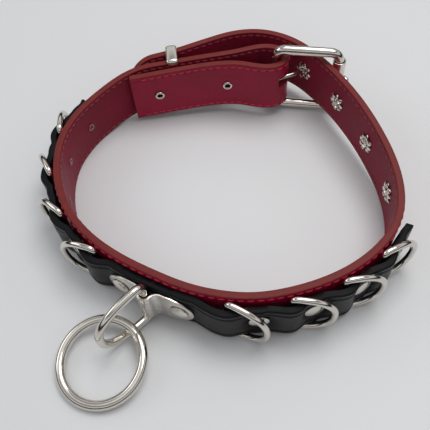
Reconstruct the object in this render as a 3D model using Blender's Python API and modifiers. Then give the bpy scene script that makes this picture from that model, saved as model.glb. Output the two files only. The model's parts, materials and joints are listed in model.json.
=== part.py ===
"""Leather ring collar with a roller buckle, standing on its edge with the neck loop closed.

One red strap of two plies folds round the heel bar of the buckle, where two tubular rivets hold it,
runs round the neck and comes back through the buckle and a metal keeper. A narrower black strap is
riveted over its front. The humps between the rivets hold eight D-rings, and a nickel bracket in the
middle holds the leash ring. Metres, +Z up; the leash ring faces -Y and the buckle +Y.
"""

import math

import bmesh
import bpy
import numpy as np
from mathutils import Matrix, Vector

MM = 0.001
GAP = 0.3 * MM  # between pieces that touch on the real collar
COLLECTION = "ring_collar"

# Straps
STRAP_WIDTH = 25.4 * MM
STRAP_THICK = 2.9 * MM
PLY_THICK = (STRAP_THICK - GAP) / 2
OVERLAY_WIDTH = 19.0 * MM
OVERLAY_THICK = 2.7 * MM
HUMP = 3.2 * MM  # how far the black strap stands off at each D-ring's bar
PINCH = 2.4 * MM  # half of the flat length at each rivet
END_LIFT = 2.0 * MM  # how far its free ends spring off
RIGHT_TAIL = 8.0 * MM  # from the last rivet to the end
LEFT_TAIL = 5.8 * MM
REAR_LIFT = 5.6 * MM  # the buckle is taller than the strap and lifts the rear of the loop
LIFT_FROM, LIFT_TO = 16.0 * MM, 71.0 * MM  # where along Y the strap rises

# Plan of the red strap's middle, in millimetres: the folded end, round the heel bar, left, front,
# right and through the buckle to the tip.
PLAN_SHIFT = (-0.21, 10.6)  # puts the origin in the middle of the whole collar's box
STRAP_PLAN = [
    (-58.5, 28.9), (-47.0, 36.2), (-35.0, 43.8), (-23.0, 50.7), (-14.0, 54.1), (-6.4, 55.4),
    (-0.4, 57.6), (3.2, 61.6), (2.9, 66.4), (-1.3, 69.4), (-7.2, 69.0), (-12.6, 66.0),
    (-18.0, 61.4), (-26.0, 55.6), (-35.0, 49.8), (-47.0, 42.2), (-56.0, 36.2), (-62.2, 29.0),
    (-66.8, 19.5), (-69.8, 9.5), (-70.6, 0.0), (-69.8, -8.5), (-66.8, -17.5), (-61.8, -26.3),
    (-55.0, -34.5), (-46.2, -41.7), (-36.0, -47.0), (-24.5, -50.5), (-12.0, -52.3), (0.0, -52.8),
    (12.0, -52.5), (24.5, -50.2), (36.0, -45.9), (46.2, -39.3), (55.5, -31.0), (63.5, -21.2),
    (69.3, -10.2), (72.3, 1.0), (72.0, 11.0), (68.6, 21.0), (62.4, 31.0), (54.6, 40.2),
    (45.0, 49.8), (34.8, 58.6), (25.5, 65.6), (17.0, 70.9), (8.5, 75.2), (0.5, 77.6),
    (-7.0, 78.2), (-14.5, 77.1), (-21.5, 74.1), (-27.4, 69.8), (-34.0, 63.0), (-40.5, 55.8),
    (-47.6, 48.9), (-54.6, 43.4), (-59.4, 39.4), (-63.0, 35.2),
]
FRONT_POINT = 29  # the plan point at the middle of the front

# Along the strap from the middle of the front
RIGHT_RIVETS = [38.4 * MM, 58.0 * MM, 77.3 * MM, 96.6 * MM]
LEFT_RIVETS = [39.0 * MM, 61.0 * MM, 83.0 * MM, 105.0 * MM]
BRACKET_SHIFT = -1.6 * MM  # of the bracket's middle
BRACKET_RIVET = 12.3 * MM  # to each side of it
BRACKET_FLAT = 14.8 * MM  # where the black strap leaves the bracket, less the pinch
EYELET_START = (9.7, 73.4)  # plan point beside the eyelet that the tongue goes through
EYELET_PITCH = 25.4 * MM
EYELETS = 4
FOLD_RIVETS = [(-48.4, 36.2), (-20.6, 53.0)]  # plan points beside the two tubular rivets
FOLD_NOSE = (3.2, 63.8)
FOLD_DEPTH = 4.6 * MM  # between the middles of the folded end and the strap behind it
KEEPER_PLAN = (-44.0, 44.2)

# Rings
D_WIRE = 1.3 * MM
D_HALF_HEIGHT = 11.4 * MM
D_DEPTH = 16.0 * MM
RIGHT_BARS = [27.4 * MM, 49.7 * MM, 69.5 * MM, 87.3 * MM]  # from the middle of the front
LEFT_BARS = [26.3 * MM, 48.2 * MM, 69.0 * MM, 91.0 * MM]
D_REST_DEG = {"r1": 18, "r2": 18, "r3": 16, "r4": 15, "l1": 17, "l2": 18, "l3": 19, "l4": 22}
LEASH_WIRE = 1.65 * MM
LEASH_HALF_HEIGHT = 12.6 * MM
LEASH_DEPTH = 21.9 * MM
LEASH_RISE = 1.8 * MM  # of its middle above the strap's
LEASH_TURN_DEG = 20.0  # the leash D-ring's swing to the left of straight ahead
D_CORNER = 2.0 * MM
LEASH_CORNER = 3.0 * MM
BOW_POWER = 2.35  # 2 is an ellipse; more is squarer
O_WIRE = 1.95 * MM
O_RADIUS = 15.9 * MM
O_CROSSING = 10.1 * MM  # from the D-ring's bar to where the O-ring lies on its lower arm
O_TURN_DEG = 13.5

# Leash bracket
BRACKET_THICK = 1.5 * MM
BRACKET_HEIGHT = 16.0 * MM
BRACKET_REACH = 17.6 * MM  # half of its length along the strap
EAR_ROUND = 5.0 * MM
FLARE_R = 3.0 * MM  # of the bend from each ear to the tube
TUBE_STANDOFF = 0.95 * MM  # between the black strap and the ring's bar
MOUTH = 1.2 * MM  # half of the opening behind the tube

# Rivets and eyelets
SHANK_R = 1.5 * MM
HEAD_R = 3.9 * MM
HEAD_DOME = 1.3 * MM
HEAD_LIP = 0.45 * MM  # how far the rim stands above the middle of the head's underside
BACK_R = 2.7 * MM
BACK_THICK = 0.7 * MM
HOLE_R = SHANK_R + GAP
TUBE_BORE_R = 1.0 * MM
TUBE_R = 1.8 * MM
TUBE_FLANGE_R = 2.7 * MM
EYELET_BORE_R = 2.3 * MM
EYELET_R = 2.75 * MM
EYELET_FLANGE_R = 4.0 * MM
PETAL_R = 4.6 * MM
PETAL_GAP_R = 3.1 * MM
PETALS = 8

# Buckle and keeper
HEEL = (-0.7, 63.5)
FAR_BAR = (26.3, 71.7)
BUCKLE_WIRE = 2.1 * MM
BUCKLE_HALF_HEIGHT = STRAP_WIDTH / 2 + 1.4 * MM + BUCKLE_WIRE
BUCKLE_LIFT = 0.8 * MM  # of its lower bar off the ground
HEEL_CORNER_R = 4.0 * MM
FAR_CORNER_R = 4.6 * MM
ROLLER_BORE_R = BUCKLE_WIRE + 0.25 * MM
ROLLER_R = 2.9 * MM
ROLLER_HALF = 12.2 * MM
TONGUE_R = 1.4 * MM
TONGUE_WRAP_R = 0.85 * MM  # of the thinner wire round the heel bar
TONGUE_RISE = 2.0 * MM  # of its wrap round the heel bar, above the eyelet
TONGUE_WRAP_DEG = 250.0
TONGUE_OVER = [(12.0, 77.6), (14.6, 79.3), (18.0, 79.6), (22.0, 78.4), (26.0, 76.6), (30.0, 74.6)]
SLOT_BOX = ((-1.0, 58.6), (7.6, 72.3))  # plan corners of the tongue's slot in the fold
SLOT_HALF = 2.5 * MM
KEEPER_WIDTH = 5.2 * MM
KEEPER_INNER = 1.2 * MM
KEEPER_OUTER = 2.0 * MM
KEEPER_SIDE = 1.8 * MM
KEEPER_SLACK = 0.8 * MM

RED = (0.42, 0.045, 0.10)
LINING_RED = (0.20, 0.035, 0.055)
BLACK = (0.022, 0.021, 0.022)
NICKEL = (0.72, 0.72, 0.73)


# ---------------------------------------------------------------- the strap's route


def cubic_curve(points, per_span=24):
    """A natural cubic spline through plan points, as closely spaced points."""
    spans = np.linalg.norm(np.diff(points, axis=0), axis=1)
    count = len(points)
    system = np.eye(count)
    right = np.zeros((count, 2))
    for i in range(1, count - 1):
        system[i, i - 1 : i + 2] = spans[i - 1], 2 * (spans[i - 1] + spans[i]), spans[i]
        after = (points[i + 1] - points[i]) / spans[i]
        before = (points[i] - points[i - 1]) / spans[i - 1]
        right[i] = 6 * (after - before)
    bend = np.linalg.solve(system, right)
    rows = []
    for i in range(count - 1):
        for k in range(per_span):
            b = k / per_span
            a = 1 - b
            curl = (a**3 - a) * bend[i] + (b**3 - b) * bend[i + 1]
            rows.append(a * points[i] + b * points[i + 1] + spans[i] ** 2 / 6 * curl)
    rows.append(points[-1])
    return np.array(rows)


def plan(point):
    """A plan point in millimetres as metres in the collar's frame."""
    return np.array([point[0] + PLAN_SHIFT[0], point[1] + PLAN_SHIFT[1]]) * MM


def lift(y):
    """How far the strap's lower edge is above the ground at this Y."""
    t = min(1.0, max(0.0, (y - LIFT_FROM) / (LIFT_TO - LIFT_FROM)))
    return REAR_LIFT * t * t * (3 - 2 * t)


def middle_z(y):
    return STRAP_WIDTH / 2 + lift(y)


class Route:
    """The middle line of the red strap in plan, measured by its length."""

    def __init__(self, points):
        knots = np.array([plan(p) for p in points])
        self.line = cubic_curve(knots)
        steps = np.linalg.norm(np.diff(self.line, axis=0), axis=1)
        self.along = np.concatenate([[0.0], np.cumsum(steps)])
        self.length = self.along[-1]
        self.front = self.nearest(knots[FRONT_POINT], 0.0, self.length)

    def nearest(self, spot, low, high):
        """The length along the route of its point nearest to a spot, between two lengths."""
        far = np.linalg.norm(self.line - spot, axis=1)
        far[(self.along < low) | (self.along > high)] = np.inf
        return self.along[int(np.argmin(far))]

    def at(self, s):
        return np.array([np.interp(s, self.along, self.line[:, k]) for k in (0, 1)])

    def tangent(self, s):
        step = self.at(s + 0.4 * MM) - self.at(s - 0.4 * MM)
        return step / np.linalg.norm(step)

    def outward(self, s):
        """The unit normal on the side that faces away from the neck."""
        x, y = self.tangent(s)
        return np.array([y, -x])

    def spot(self, s, offset=0.0, rise=0.0):
        """A point at an offset from the strap's middle surface, rise above its middle height."""
        base = self.at(s)
        x, y = base + self.outward(s) * offset
        return Vector((x, y, middle_z(base[1]) + rise))

    def stations(self, start, end, turn=0.10, longest=5.5 * MM, shortest=1.4 * MM):
        """Lengths from start to end, closer together where the strap bends more."""
        found = [start]
        while found[-1] < end:
            here = found[-1]
            before, after = self.tangent(here), self.tangent(min(here + MM, self.length))
            bend = abs(before[0] * after[1] - before[1] * after[0]) / MM
            found.append(here + min(longest, max(shortest, turn / max(bend, 1.0))))
        scale = (end - start) / (found[-1] - start)
        return [start + (s - start) * scale for s in found]


# ---------------------------------------------------------------- helpers


def clear_scene():
    for obj in list(bpy.data.objects):
        bpy.data.objects.remove(obj, do_unlink=True)


def new_collection(name):
    made = bpy.data.collections.new(name)
    bpy.context.scene.collection.children.link(made)
    return made


def make_material(name, color, roughness, metallic):
    made = bpy.data.materials.new(name)
    made.use_nodes = True
    shader = made.node_tree.nodes["Principled BSDF"]
    shader.inputs["Base Color"].default_value = (*color, 1.0)
    shader.inputs["Roughness"].default_value = roughness
    shader.inputs["Metallic"].default_value = metallic
    return made


def add_object(name, data, look=None):
    obj = bpy.data.objects.new(name, data)
    PARTS.objects.link(obj)
    if look:
        data.materials.append(LOOKS[look])
    return obj


def to_cutter(obj):
    for owner in obj.users_collection:
        owner.objects.unlink(obj)
    CUTTERS.objects.link(obj)
    obj.hide_render = True
    obj.display_type = "WIRE"
    return obj


def cut(obj, cutter):
    boolean = obj.modifiers.new("holes", "BOOLEAN")
    boolean.operation = "DIFFERENCE"
    boolean.solver = "EXACT"
    boolean.object = cutter


def facing(direction):
    """The rotation that turns +Z to this plan direction."""
    return Vector((direction[0], direction[1], 0.0)).to_track_quat("Z", "Y")


def pegs(name, places, radius, sides=12):
    """One cutter of cylinders, each from one point to another."""
    mesh = bmesh.new()
    for start, end in places:
        way = end - start
        matrix = Matrix.Translation((start + end) / 2) @ way.to_track_quat("Z", "Y").to_matrix().to_4x4()
        bmesh.ops.create_cone(
            mesh, cap_ends=True, segments=sides, radius1=radius, radius2=radius, depth=way.length, matrix=matrix
        )
    data = bpy.data.meshes.new(name)
    mesh.to_mesh(data)
    mesh.free()
    return to_cutter(add_object(name, data))


def tube(name, points, radius, look, cyclic=False, shares=None):
    """A round wire along points in the object's own frame; shares thin it from point to point."""
    data = bpy.data.curves.new(name, "CURVE")
    data.dimensions = "3D"
    data.bevel_depth = radius
    data.bevel_resolution = 2
    data.use_fill_caps = not cyclic
    spline = data.splines.new("POLY")
    spline.points.add(len(points) - 1)
    for place, point, share in zip(spline.points, points, shares or [1.0] * len(points)):
        place.co = (*point, 1.0)
        place.radius = share
    spline.use_cyclic_u = cyclic
    return add_object(name, data, look)


def outline(name, loops, half_height, look):
    """Closed plan outlines filled and extruded up and down; a loop inside another is a hole."""
    data = bpy.data.curves.new(name, "CURVE")
    data.dimensions = "2D"
    data.fill_mode = "BOTH"
    data.extrude = half_height
    for points in loops:
        spline = data.splines.new("POLY")
        spline.points.add(len(points) - 1)
        for place, point in zip(spline.points, points):
            place.co = (point[0], point[1], 0.0, 1.0)
        spline.use_cyclic_u = True
    return add_object(name, data, look)


def turned(name, profile, look, steps=12, closed=False):
    """A profile of (radius, height) rows, top to bottom down the outer side, turned round +Z."""
    data = bpy.data.meshes.new(name)
    edges = [(i, i + 1) for i in range(len(profile) - 1)]
    if closed:
        edges.append((len(profile) - 1, 0))
    data.from_pydata([(r, 0.0, z) for r, z in profile], edges, [])
    obj = add_object(name, data, look)
    screw = obj.modifiers.new("turn", "SCREW")
    screw.steps = screw.render_steps = steps
    screw.use_merge_vertices = True
    screw.merge_threshold = 0.00001
    screw.use_smooth_shade = True
    return obj


def as_mesh(obj):
    """The object with its modifiers applied, or its curve made a welded mesh."""
    bpy.context.view_layer.update()
    graph = bpy.context.evaluated_depsgraph_get()
    data = bpy.data.meshes.new_from_object(obj.evaluated_get(graph))
    mesh = bmesh.new()
    mesh.from_mesh(data)
    bmesh.ops.remove_doubles(mesh, verts=mesh.verts, dist=0.000001)
    bmesh.ops.recalc_face_normals(mesh, faces=mesh.faces)
    mesh.to_mesh(data)
    mesh.free()
    name, matrix = obj.name, obj.matrix_world.copy()
    bpy.data.objects.remove(obj, do_unlink=True)
    made = add_object(name, data)
    made.matrix_world = matrix
    return made


def arc(center, radius, start_deg, end_deg, count):
    angles = np.radians(np.linspace(start_deg, end_deg, count))
    return [(center[0] + radius * math.cos(a), center[1] + radius * math.sin(a)) for a in angles]


def smoothstep(t):
    t = min(1.0, max(0.0, t))
    return t * t * (3 - 2 * t)


# ---------------------------------------------------------------- straps


def ribbon(name, stations, offset, half_width, thick, look, cutters):
    """An upright strip along the route, thickened both ways and pierced by the cutters."""
    mesh = bmesh.new()
    rows = []
    for s in stations:
        half = half_width(s)
        rows.append([mesh.verts.new(ROUTE.spot(s, offset(s), rise)) for rise in (-half, half)])
    for (low, high), (next_low, next_high) in zip(rows, rows[1:]):
        mesh.faces.new((low, next_low, next_high, high))
    data = bpy.data.meshes.new(name)
    mesh.to_mesh(data)
    mesh.free()
    obj = add_object(name, data, look)
    solidify = obj.modifiers.new("thickness", "SOLIDIFY")
    solidify.thickness = thick
    solidify.offset = 0.0
    solidify.use_even_offset = True
    for cutter in cutters:
        cut(obj, cutter)
    return obj


def tip_half_width(s):
    """The strap's full half width, with a rounded tip."""
    half = STRAP_WIDTH / 2
    left = ROUTE.length - s
    if left >= half:
        return half
    return max(half * math.sqrt(1 - (1 - left / half) ** 2), 1.5 * MM)


def hump(s):
    """How far the black strap stands off the red one at this length from the front."""
    flat = [BRACKET_SHIFT - BRACKET_FLAT, BRACKET_SHIFT + BRACKET_FLAT]
    pins = sorted([-r for r in LEFT_RIVETS] + flat + RIGHT_RIVETS)
    if s > pins[-1]:
        return END_LIFT * smoothstep((s - pins[-1] - PINCH) / (RIGHT_TAIL - PINCH))
    if s < pins[0]:
        return END_LIFT * smoothstep((pins[0] - s - PINCH) / (LEFT_TAIL - PINCH))
    for bar in ring_bars().values():
        low, high = max(p for p in pins if p < bar), min(p for p in pins if p > bar)
        if low <= s <= high:
            pin = low if s < bar else high
            return HUMP * smoothstep((abs(s - pin) - PINCH) / (abs(bar - pin) - PINCH))
    return 0.0


def ring_bars():
    """Name and length from the front of each D-ring's bar, at the top of each hump."""
    bars = {f"r{i + 1}": length for i, length in enumerate(RIGHT_BARS)}
    bars.update({f"l{i + 1}": -length for i, length in enumerate(LEFT_BARS)})
    return bars


def eyelet_lengths():
    # The tongue's eyelet is on the last stretch, after the loop has come round to the buckle.
    first = ROUTE.nearest(plan(EYELET_START), ROUTE.front, ROUTE.length)
    return [first - EYELET_PITCH * i for i in range(EYELETS)]


def fold_middle():
    """The length along the route at the nose of the fold."""
    return ROUTE.nearest(plan(FOLD_NOSE), 0.0, ROUTE.front)


def fold_ends():
    """For each tubular rivet, where its axis meets the folded end's face and the strap's face behind."""
    pairs = []
    for spot in FOLD_RIVETS:
        inner = ROUTE.nearest(plan(spot), 0.0, fold_middle())
        behind = ROUTE.at(inner) - ROUTE.outward(inner) * FOLD_DEPTH
        outer = ROUTE.nearest(behind, fold_middle(), ROUTE.front)
        pairs.append((ROUTE.spot(inner, STRAP_THICK / 2), ROUTE.spot(outer, STRAP_THICK / 2)))
    return pairs


def make_straps():
    reach = STRAP_THICK / 2 + 1.0 * MM
    rivets = [ROUTE.front + s for s in rivet_positions()]
    front_holes = pegs("strap_rivet_holes", [(ROUTE.spot(s, -reach), ROUTE.spot(s, reach)) for s in rivets], HOLE_R)
    eyes = pegs(
        "eyelet_holes", [(ROUTE.spot(s, -reach), ROUTE.spot(s, reach)) for s in eyelet_lengths()], EYELET_R + GAP
    )
    fold_places = []
    for front, back in fold_ends():
        way = (front - back).normalized()
        fold_places.append((back - way * 0.6 * MM, front + way * MM))
    folds = pegs("fold_rivet_holes", fold_places, TUBE_R + GAP)
    slot = make_slot()
    stations = ROUTE.stations(0.0, ROUTE.length)
    tip = [ROUTE.length - t * STRAP_WIDTH / 2 for t in (0.75, 0.5, 0.3, 0.15, 0.05, 0.0)]
    stations = [s for s in stations if s < tip[0] - MM] + tip
    ply_middle = (GAP + PLY_THICK) / 2
    cutters = (front_holes, eyes, folds, slot)
    ribbon("strap_outer_ply", stations, lambda s: ply_middle, tip_half_width, PLY_THICK, "red", cutters)
    ribbon("strap_lining", stations, lambda s: -ply_middle, tip_half_width, PLY_THICK, "lining", cutters)


def make_slot():
    """The cutter of the tongue's slot in the fold."""
    (low_x, low_y), (high_x, high_y) = (plan(corner) for corner in SLOT_BOX)
    mesh = bmesh.new()
    bmesh.ops.create_cube(mesh, size=1.0)
    data = bpy.data.meshes.new("tongue_slot")
    mesh.to_mesh(data)
    mesh.free()
    slot = to_cutter(add_object("tongue_slot", data))
    slot.location = ((low_x + high_x) / 2, (low_y + high_y) / 2, middle_z(high_y) + TONGUE_RISE)
    slot.scale = (high_x - low_x, high_y - low_y, 2 * SLOT_HALF)
    return slot


def rivet_positions():
    """Lengths from the front of every rivet that goes through the black strap."""
    bracket = [BRACKET_SHIFT - BRACKET_RIVET, BRACKET_SHIFT + BRACKET_RIVET]
    return [-r for r in LEFT_RIVETS] + bracket + RIGHT_RIVETS


def overlay_face():
    """The black strap's outer face at a rivet, from the red strap's middle."""
    return STRAP_THICK / 2 + GAP + OVERLAY_THICK


def make_overlay():
    start, end = -LEFT_RIVETS[-1] - LEFT_TAIL, RIGHT_RIVETS[-1] + RIGHT_TAIL
    count = 104
    stations = [ROUTE.front + start + (end - start) * i / count for i in range(count + 1)]
    base = STRAP_THICK / 2 + GAP + OVERLAY_THICK / 2
    places = []
    for s in rivet_positions():
        where = ROUTE.front + s
        places.append((ROUTE.spot(where, STRAP_THICK / 2), ROUTE.spot(where, overlay_face() + MM)))
    holes = pegs("overlay_holes", places, HOLE_R)
    ribbon(
        "overlay_strap",
        stations,
        lambda s: base + hump(s - ROUTE.front),
        lambda s: OVERLAY_WIDTH / 2,
        OVERLAY_THICK,
        "black",
        (holes,),
    )


# ---------------------------------------------------------------- rings


def d_outline(half_height, depth, corner):
    """A D in the local XZ plane: the straight bar on the Z axis, the bow towards +X."""
    points = [(0.0, -half_height + corner), (0.0, half_height - corner)]
    points += arc((corner, half_height - corner), corner, 150, 120, 2)
    power = 2 / BOW_POWER
    for angle in np.radians(np.linspace(90, -90, 17)):
        x = max(math.cos(angle), 0.0) ** power
        z = math.copysign(abs(math.sin(angle)) ** power, math.sin(angle))
        points.append((corner + (depth - corner) * x, half_height * z))
    points += arc((corner, -half_height + corner), corner, 240, 210, 2)
    return [(x, 0.0, z) for x, z in points]


def ring_direction(length, degrees):
    """Where a D-ring's bow points: along the strap away from the front's middle, swung outwards."""
    side = 1.0 if length > 0 else -1.0
    s = ROUTE.front + length
    turn = math.radians(degrees)
    return side * math.cos(turn) * ROUTE.tangent(s) + math.sin(turn) * ROUTE.outward(s)


def make_d_rings():
    for name, length in ring_bars().items():
        shape = d_outline(D_HALF_HEIGHT, D_DEPTH, D_CORNER)
        ring = tube(f"d_ring_{name}", shape, D_WIRE, "nickel", cyclic=True)
        ring.location = ROUTE.spot(ROUTE.front + length, STRAP_THICK / 2 + 0.35 * MM + D_WIRE)
        x, y = ring_direction(length, D_REST_DEG[name])
        ring.rotation_euler.z = math.atan2(y, x)


def leash_direction():
    turn = math.radians(-90 - LEASH_TURN_DEG)
    return np.array([math.cos(turn), math.sin(turn)])


def leash_bar():
    """The middle of the leash D-ring's bar, inside the bracket's tube."""
    return ROUTE.spot(ROUTE.front + BRACKET_SHIFT, tube_offset(), LEASH_RISE)


def tube_offset():
    return overlay_face() + TUBE_STANDOFF + LEASH_WIRE


def make_leash_rings():
    shape = d_outline(LEASH_HALF_HEIGHT, LEASH_DEPTH, LEASH_CORNER)
    ring = tube("leash_d_ring", shape, LEASH_WIRE, "nickel", cyclic=True)
    ring.location = leash_bar()
    x, y = leash_direction()
    ring.rotation_euler.z = math.atan2(y, x)
    crossing, way, slope = o_ring_place()
    bpy.ops.mesh.primitive_torus_add(
        major_radius=O_RADIUS, minor_radius=O_WIRE, major_segments=36, minor_segments=8
    )
    hoop = bpy.context.object
    hoop.name = hoop.data.name = "o_ring"
    for owner in hoop.users_collection:
        owner.objects.unlink(hoop)
    PARTS.objects.link(hoop)
    hoop.data.materials.append(LOOKS["nickel"])
    hoop.data.shade_smooth()
    hoop.data.transform(Matrix.Translation((O_RADIUS, 0.0, 0.0)))
    hoop.location = crossing
    hoop.rotation_euler = (0.0, slope, math.atan2(way[1], way[0]))


def o_ring_place():
    """Where the O-ring crosses over the D-ring's lower arm, its direction from there and its slope."""
    share = (O_CROSSING - LEASH_CORNER) / (LEASH_DEPTH - LEASH_CORNER)
    drop = LEASH_HALF_HEIGHT * (1 - share**BOW_POWER) ** (1 / BOW_POWER)
    bar = leash_bar()
    x, y = np.array(bar[:2]) + leash_direction() * O_CROSSING
    crossing = Vector((x, y, bar.z - drop + LEASH_WIRE + O_WIRE + 1.3 * GAP))
    turn = math.radians(-90 - O_TURN_DEG)
    slope = math.asin((crossing.z - O_WIRE - 0.05 * MM) / (2 * O_RADIUS))
    return crossing, np.array([math.cos(turn), math.sin(turn)]), slope


# ---------------------------------------------------------------- leash bracket


def make_bracket():
    """A strip that flares out from the strap into an upright tube round the leash D-ring's bar."""
    low = overlay_face() + GAP
    high = low + BRACKET_THICK
    bore = LEASH_WIRE + GAP
    middle = tube_offset()
    wall = bore + BRACKET_THICK
    mouth_deg = math.degrees(math.acos(MOUTH / bore))
    flare_rise = high + FLARE_R - middle
    flare_at = math.sqrt((FLARE_R + wall) ** 2 - flare_rise**2)
    meet_deg = math.degrees(math.atan2(flare_rise, flare_at))
    ear = [BRACKET_REACH * t for t in (1.0, 0.75, 0.5)]
    points = [(-s, high) for s in ear]
    points += arc((-flare_at, high + FLARE_R), FLARE_R, -90, -meet_deg, 6)
    points += arc((0.0, middle), wall, 180 - meet_deg, meet_deg, 11)[1:-1]
    points += arc((flare_at, high + FLARE_R), FLARE_R, 180 + meet_deg, 270, 6)
    points += [(s, high) for s in reversed(ear)]
    points += [(s, low) for s in ear]
    points += [(MOUTH, low)]
    points += arc((0.0, middle), bore, -mouth_deg, 180 + mouth_deg, 13)
    points += [(-MOUTH, low)]
    points += [(-s, low) for s in reversed(ear)]
    loop = [tuple(ROUTE.spot(ROUTE.front + BRACKET_SHIFT + s, o)[:2]) for s, o in points]
    obj = outline("leash_bracket", [loop], BRACKET_HEIGHT / 2, "nickel")
    obj.location.z = STRAP_WIDTH / 2
    obj = as_mesh(obj)
    middle_s = ROUTE.front + BRACKET_SHIFT
    tips = [tuple(ROUTE.spot(middle_s + s, high)[:2]) for s in (-BRACKET_REACH, BRACKET_REACH)]
    round_ears(obj, tips)
    places = []
    for s in (-BRACKET_RIVET, BRACKET_RIVET):
        where = middle_s + s
        places.append((ROUTE.spot(where, low - 0.2 * MM), ROUTE.spot(where, high + MM)))
    cut(obj, pegs("bracket_holes", places, HOLE_R))


def round_ears(obj, tips):
    """Rounds the four corners of the strip's ends, whose plan points are the tips."""
    mesh = bmesh.new()
    mesh.from_mesh(obj.data)
    half = BRACKET_HEIGHT / 2
    picked = []
    for edge in mesh.edges:
        ends = [vert.co for vert in edge.verts]
        at_end = all(min(math.dist(co[:2], tip) for tip in tips) < 2 * BRACKET_THICK for co in ends)
        flat = abs(ends[0].z - ends[1].z) < 0.01 * MM and abs(abs(ends[0].z) - half) < 0.01 * MM
        across = 0.5 * MM < (ends[0] - ends[1]).length < 1.2 * BRACKET_THICK
        if at_end and flat and across and len(edge.link_faces) == 2:
            if abs(edge.link_faces[0].normal.dot(edge.link_faces[1].normal)) < 0.5:
                picked.append(edge)
    bmesh.ops.bevel(
        mesh, geom=picked, offset=EAR_ROUND, offset_type="OFFSET", segments=4, profile=0.5, affect="EDGES"
    )
    mesh.to_mesh(obj.data)
    mesh.free()


# ---------------------------------------------------------------- rivets and eyelets


def rivet(name, s, seat):
    """A capped rivet through the straps; seat is where its head sits, from the red strap's middle."""
    top = seat + GAP
    back = -STRAP_THICK / 2 - GAP
    profile = [
        (0.0, top + HEAD_DOME),
        (HEAD_R * 0.6, top + HEAD_DOME * 0.88),
        (HEAD_R * 0.92, top + HEAD_DOME * 0.65),
        (HEAD_R, top + HEAD_LIP),
        (SHANK_R, top),
        (SHANK_R, back),
        (BACK_R, back),
        (BACK_R * 0.85, back - BACK_THICK),
        (0.0, back - BACK_THICK),
    ]
    obj = turned(name, profile, "nickel")
    where = ROUTE.front + s
    obj.location = ROUTE.spot(where)
    obj.rotation_mode = "QUATERNION"
    obj.rotation_quaternion = facing(ROUTE.outward(where))


def make_rivets():
    for side, rivets in (("r", RIGHT_RIVETS), ("l", LEFT_RIVETS)):
        sign = 1 if side == "r" else -1
        for i, s in enumerate(rivets):
            rivet(f"overlay_rivet_{side}{i + 1}", sign * s, overlay_face())
    bracket_face = overlay_face() + GAP + BRACKET_THICK
    rivet("bracket_rivet_right", BRACKET_SHIFT + BRACKET_RIVET, bracket_face)
    rivet("bracket_rivet_left", BRACKET_SHIFT - BRACKET_RIVET, bracket_face)


def make_fold_rivets():
    """Tubular rivets that hold the folded end to the strap behind it."""
    for i, (front, back) in enumerate(fold_ends()):
        way = front - back
        top, bottom = way.length + 1.5 * GAP, -1.5 * GAP
        profile = [
            (TUBE_BORE_R, top),
            (TUBE_BORE_R + 0.5 * MM, top + 0.8 * MM),
            (TUBE_FLANGE_R - 0.4 * MM, top + 0.8 * MM),
            (TUBE_FLANGE_R, top),
            (TUBE_R, top),
            (TUBE_R, bottom),
            (TUBE_FLANGE_R, bottom),
            (TUBE_FLANGE_R, bottom - 0.5 * MM),
            (TUBE_BORE_R, bottom - 0.5 * MM),
        ]
        obj = turned(f"fold_rivet_{i + 1}", profile, "nickel", closed=True)
        obj.location = back
        obj.rotation_mode = "QUATERNION"
        obj.rotation_quaternion = way.to_track_quat("Z", "Y")


def make_eyelets():
    """Eyelets whose barrels are split and spread as a star on the inner face."""
    face = STRAP_THICK / 2 + GAP
    profile = [
        (EYELET_BORE_R, face + 0.5 * MM),
        (EYELET_BORE_R + 0.7 * MM, face + 0.8 * MM),
        (EYELET_FLANGE_R, face),
        (EYELET_R, face),
        (EYELET_R, -face),
        (PETAL_R, -face),
        (PETAL_R, -face - 0.4 * MM),
        (EYELET_BORE_R + 0.3 * MM, -face - 0.7 * MM),
        (EYELET_BORE_R, -face - 0.4 * MM),
    ]
    for i, s in enumerate(eyelet_lengths()):
        obj = as_mesh(turned(f"eyelet_{i + 1}", profile, "nickel", steps=2 * PETALS, closed=True))
        for vert in obj.data.vertices:
            angle = math.atan2(vert.co.y, vert.co.x)
            valley = round(angle / math.pi * PETALS) % 2 == 1
            if valley and math.hypot(vert.co.x, vert.co.y) > 0.9 * PETAL_R:
                vert.co.x *= PETAL_GAP_R / PETAL_R
                vert.co.y *= PETAL_GAP_R / PETAL_R
        obj.location = ROUTE.spot(s)
        obj.rotation_mode = "QUATERNION"
        obj.rotation_quaternion = facing(ROUTE.outward(s))


# ---------------------------------------------------------------- buckle and keeper


def buckle_height():
    return BUCKLE_HALF_HEIGHT + BUCKLE_WIRE + BUCKLE_LIFT


def make_buckle():
    heel, far = plan(HEEL), plan(FAR_BAR)
    length = float(np.linalg.norm(far - heel))
    half = BUCKLE_HALF_HEIGHT
    corners = [
        ((HEEL_CORNER_R, half - HEEL_CORNER_R), HEEL_CORNER_R, 180),
        ((length - FAR_CORNER_R, half - FAR_CORNER_R), FAR_CORNER_R, 90),
        ((length - FAR_CORNER_R, FAR_CORNER_R - half), FAR_CORNER_R, 0),
        ((HEEL_CORNER_R, HEEL_CORNER_R - half), HEEL_CORNER_R, -90),
    ]
    points = []
    for center, radius, start in corners:
        points += [(x, 0.0, z) for x, z in arc(center, radius, start, start - 90, 6)]
    frame = tube("buckle_frame", points, BUCKLE_WIRE, "nickel", cyclic=True)
    frame.location = (*heel, buckle_height())
    frame.rotation_euler.z = math.atan2(*(far - heel)[::-1])
    profile = [
        (ROLLER_R, ROLLER_HALF),
        (ROLLER_R, -ROLLER_HALF),
        (ROLLER_BORE_R, -ROLLER_HALF),
        (ROLLER_BORE_R, ROLLER_HALF),
    ]
    roller = turned("buckle_roller", profile, "nickel", steps=16, closed=True)
    roller.location = (*far, buckle_height())


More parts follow.
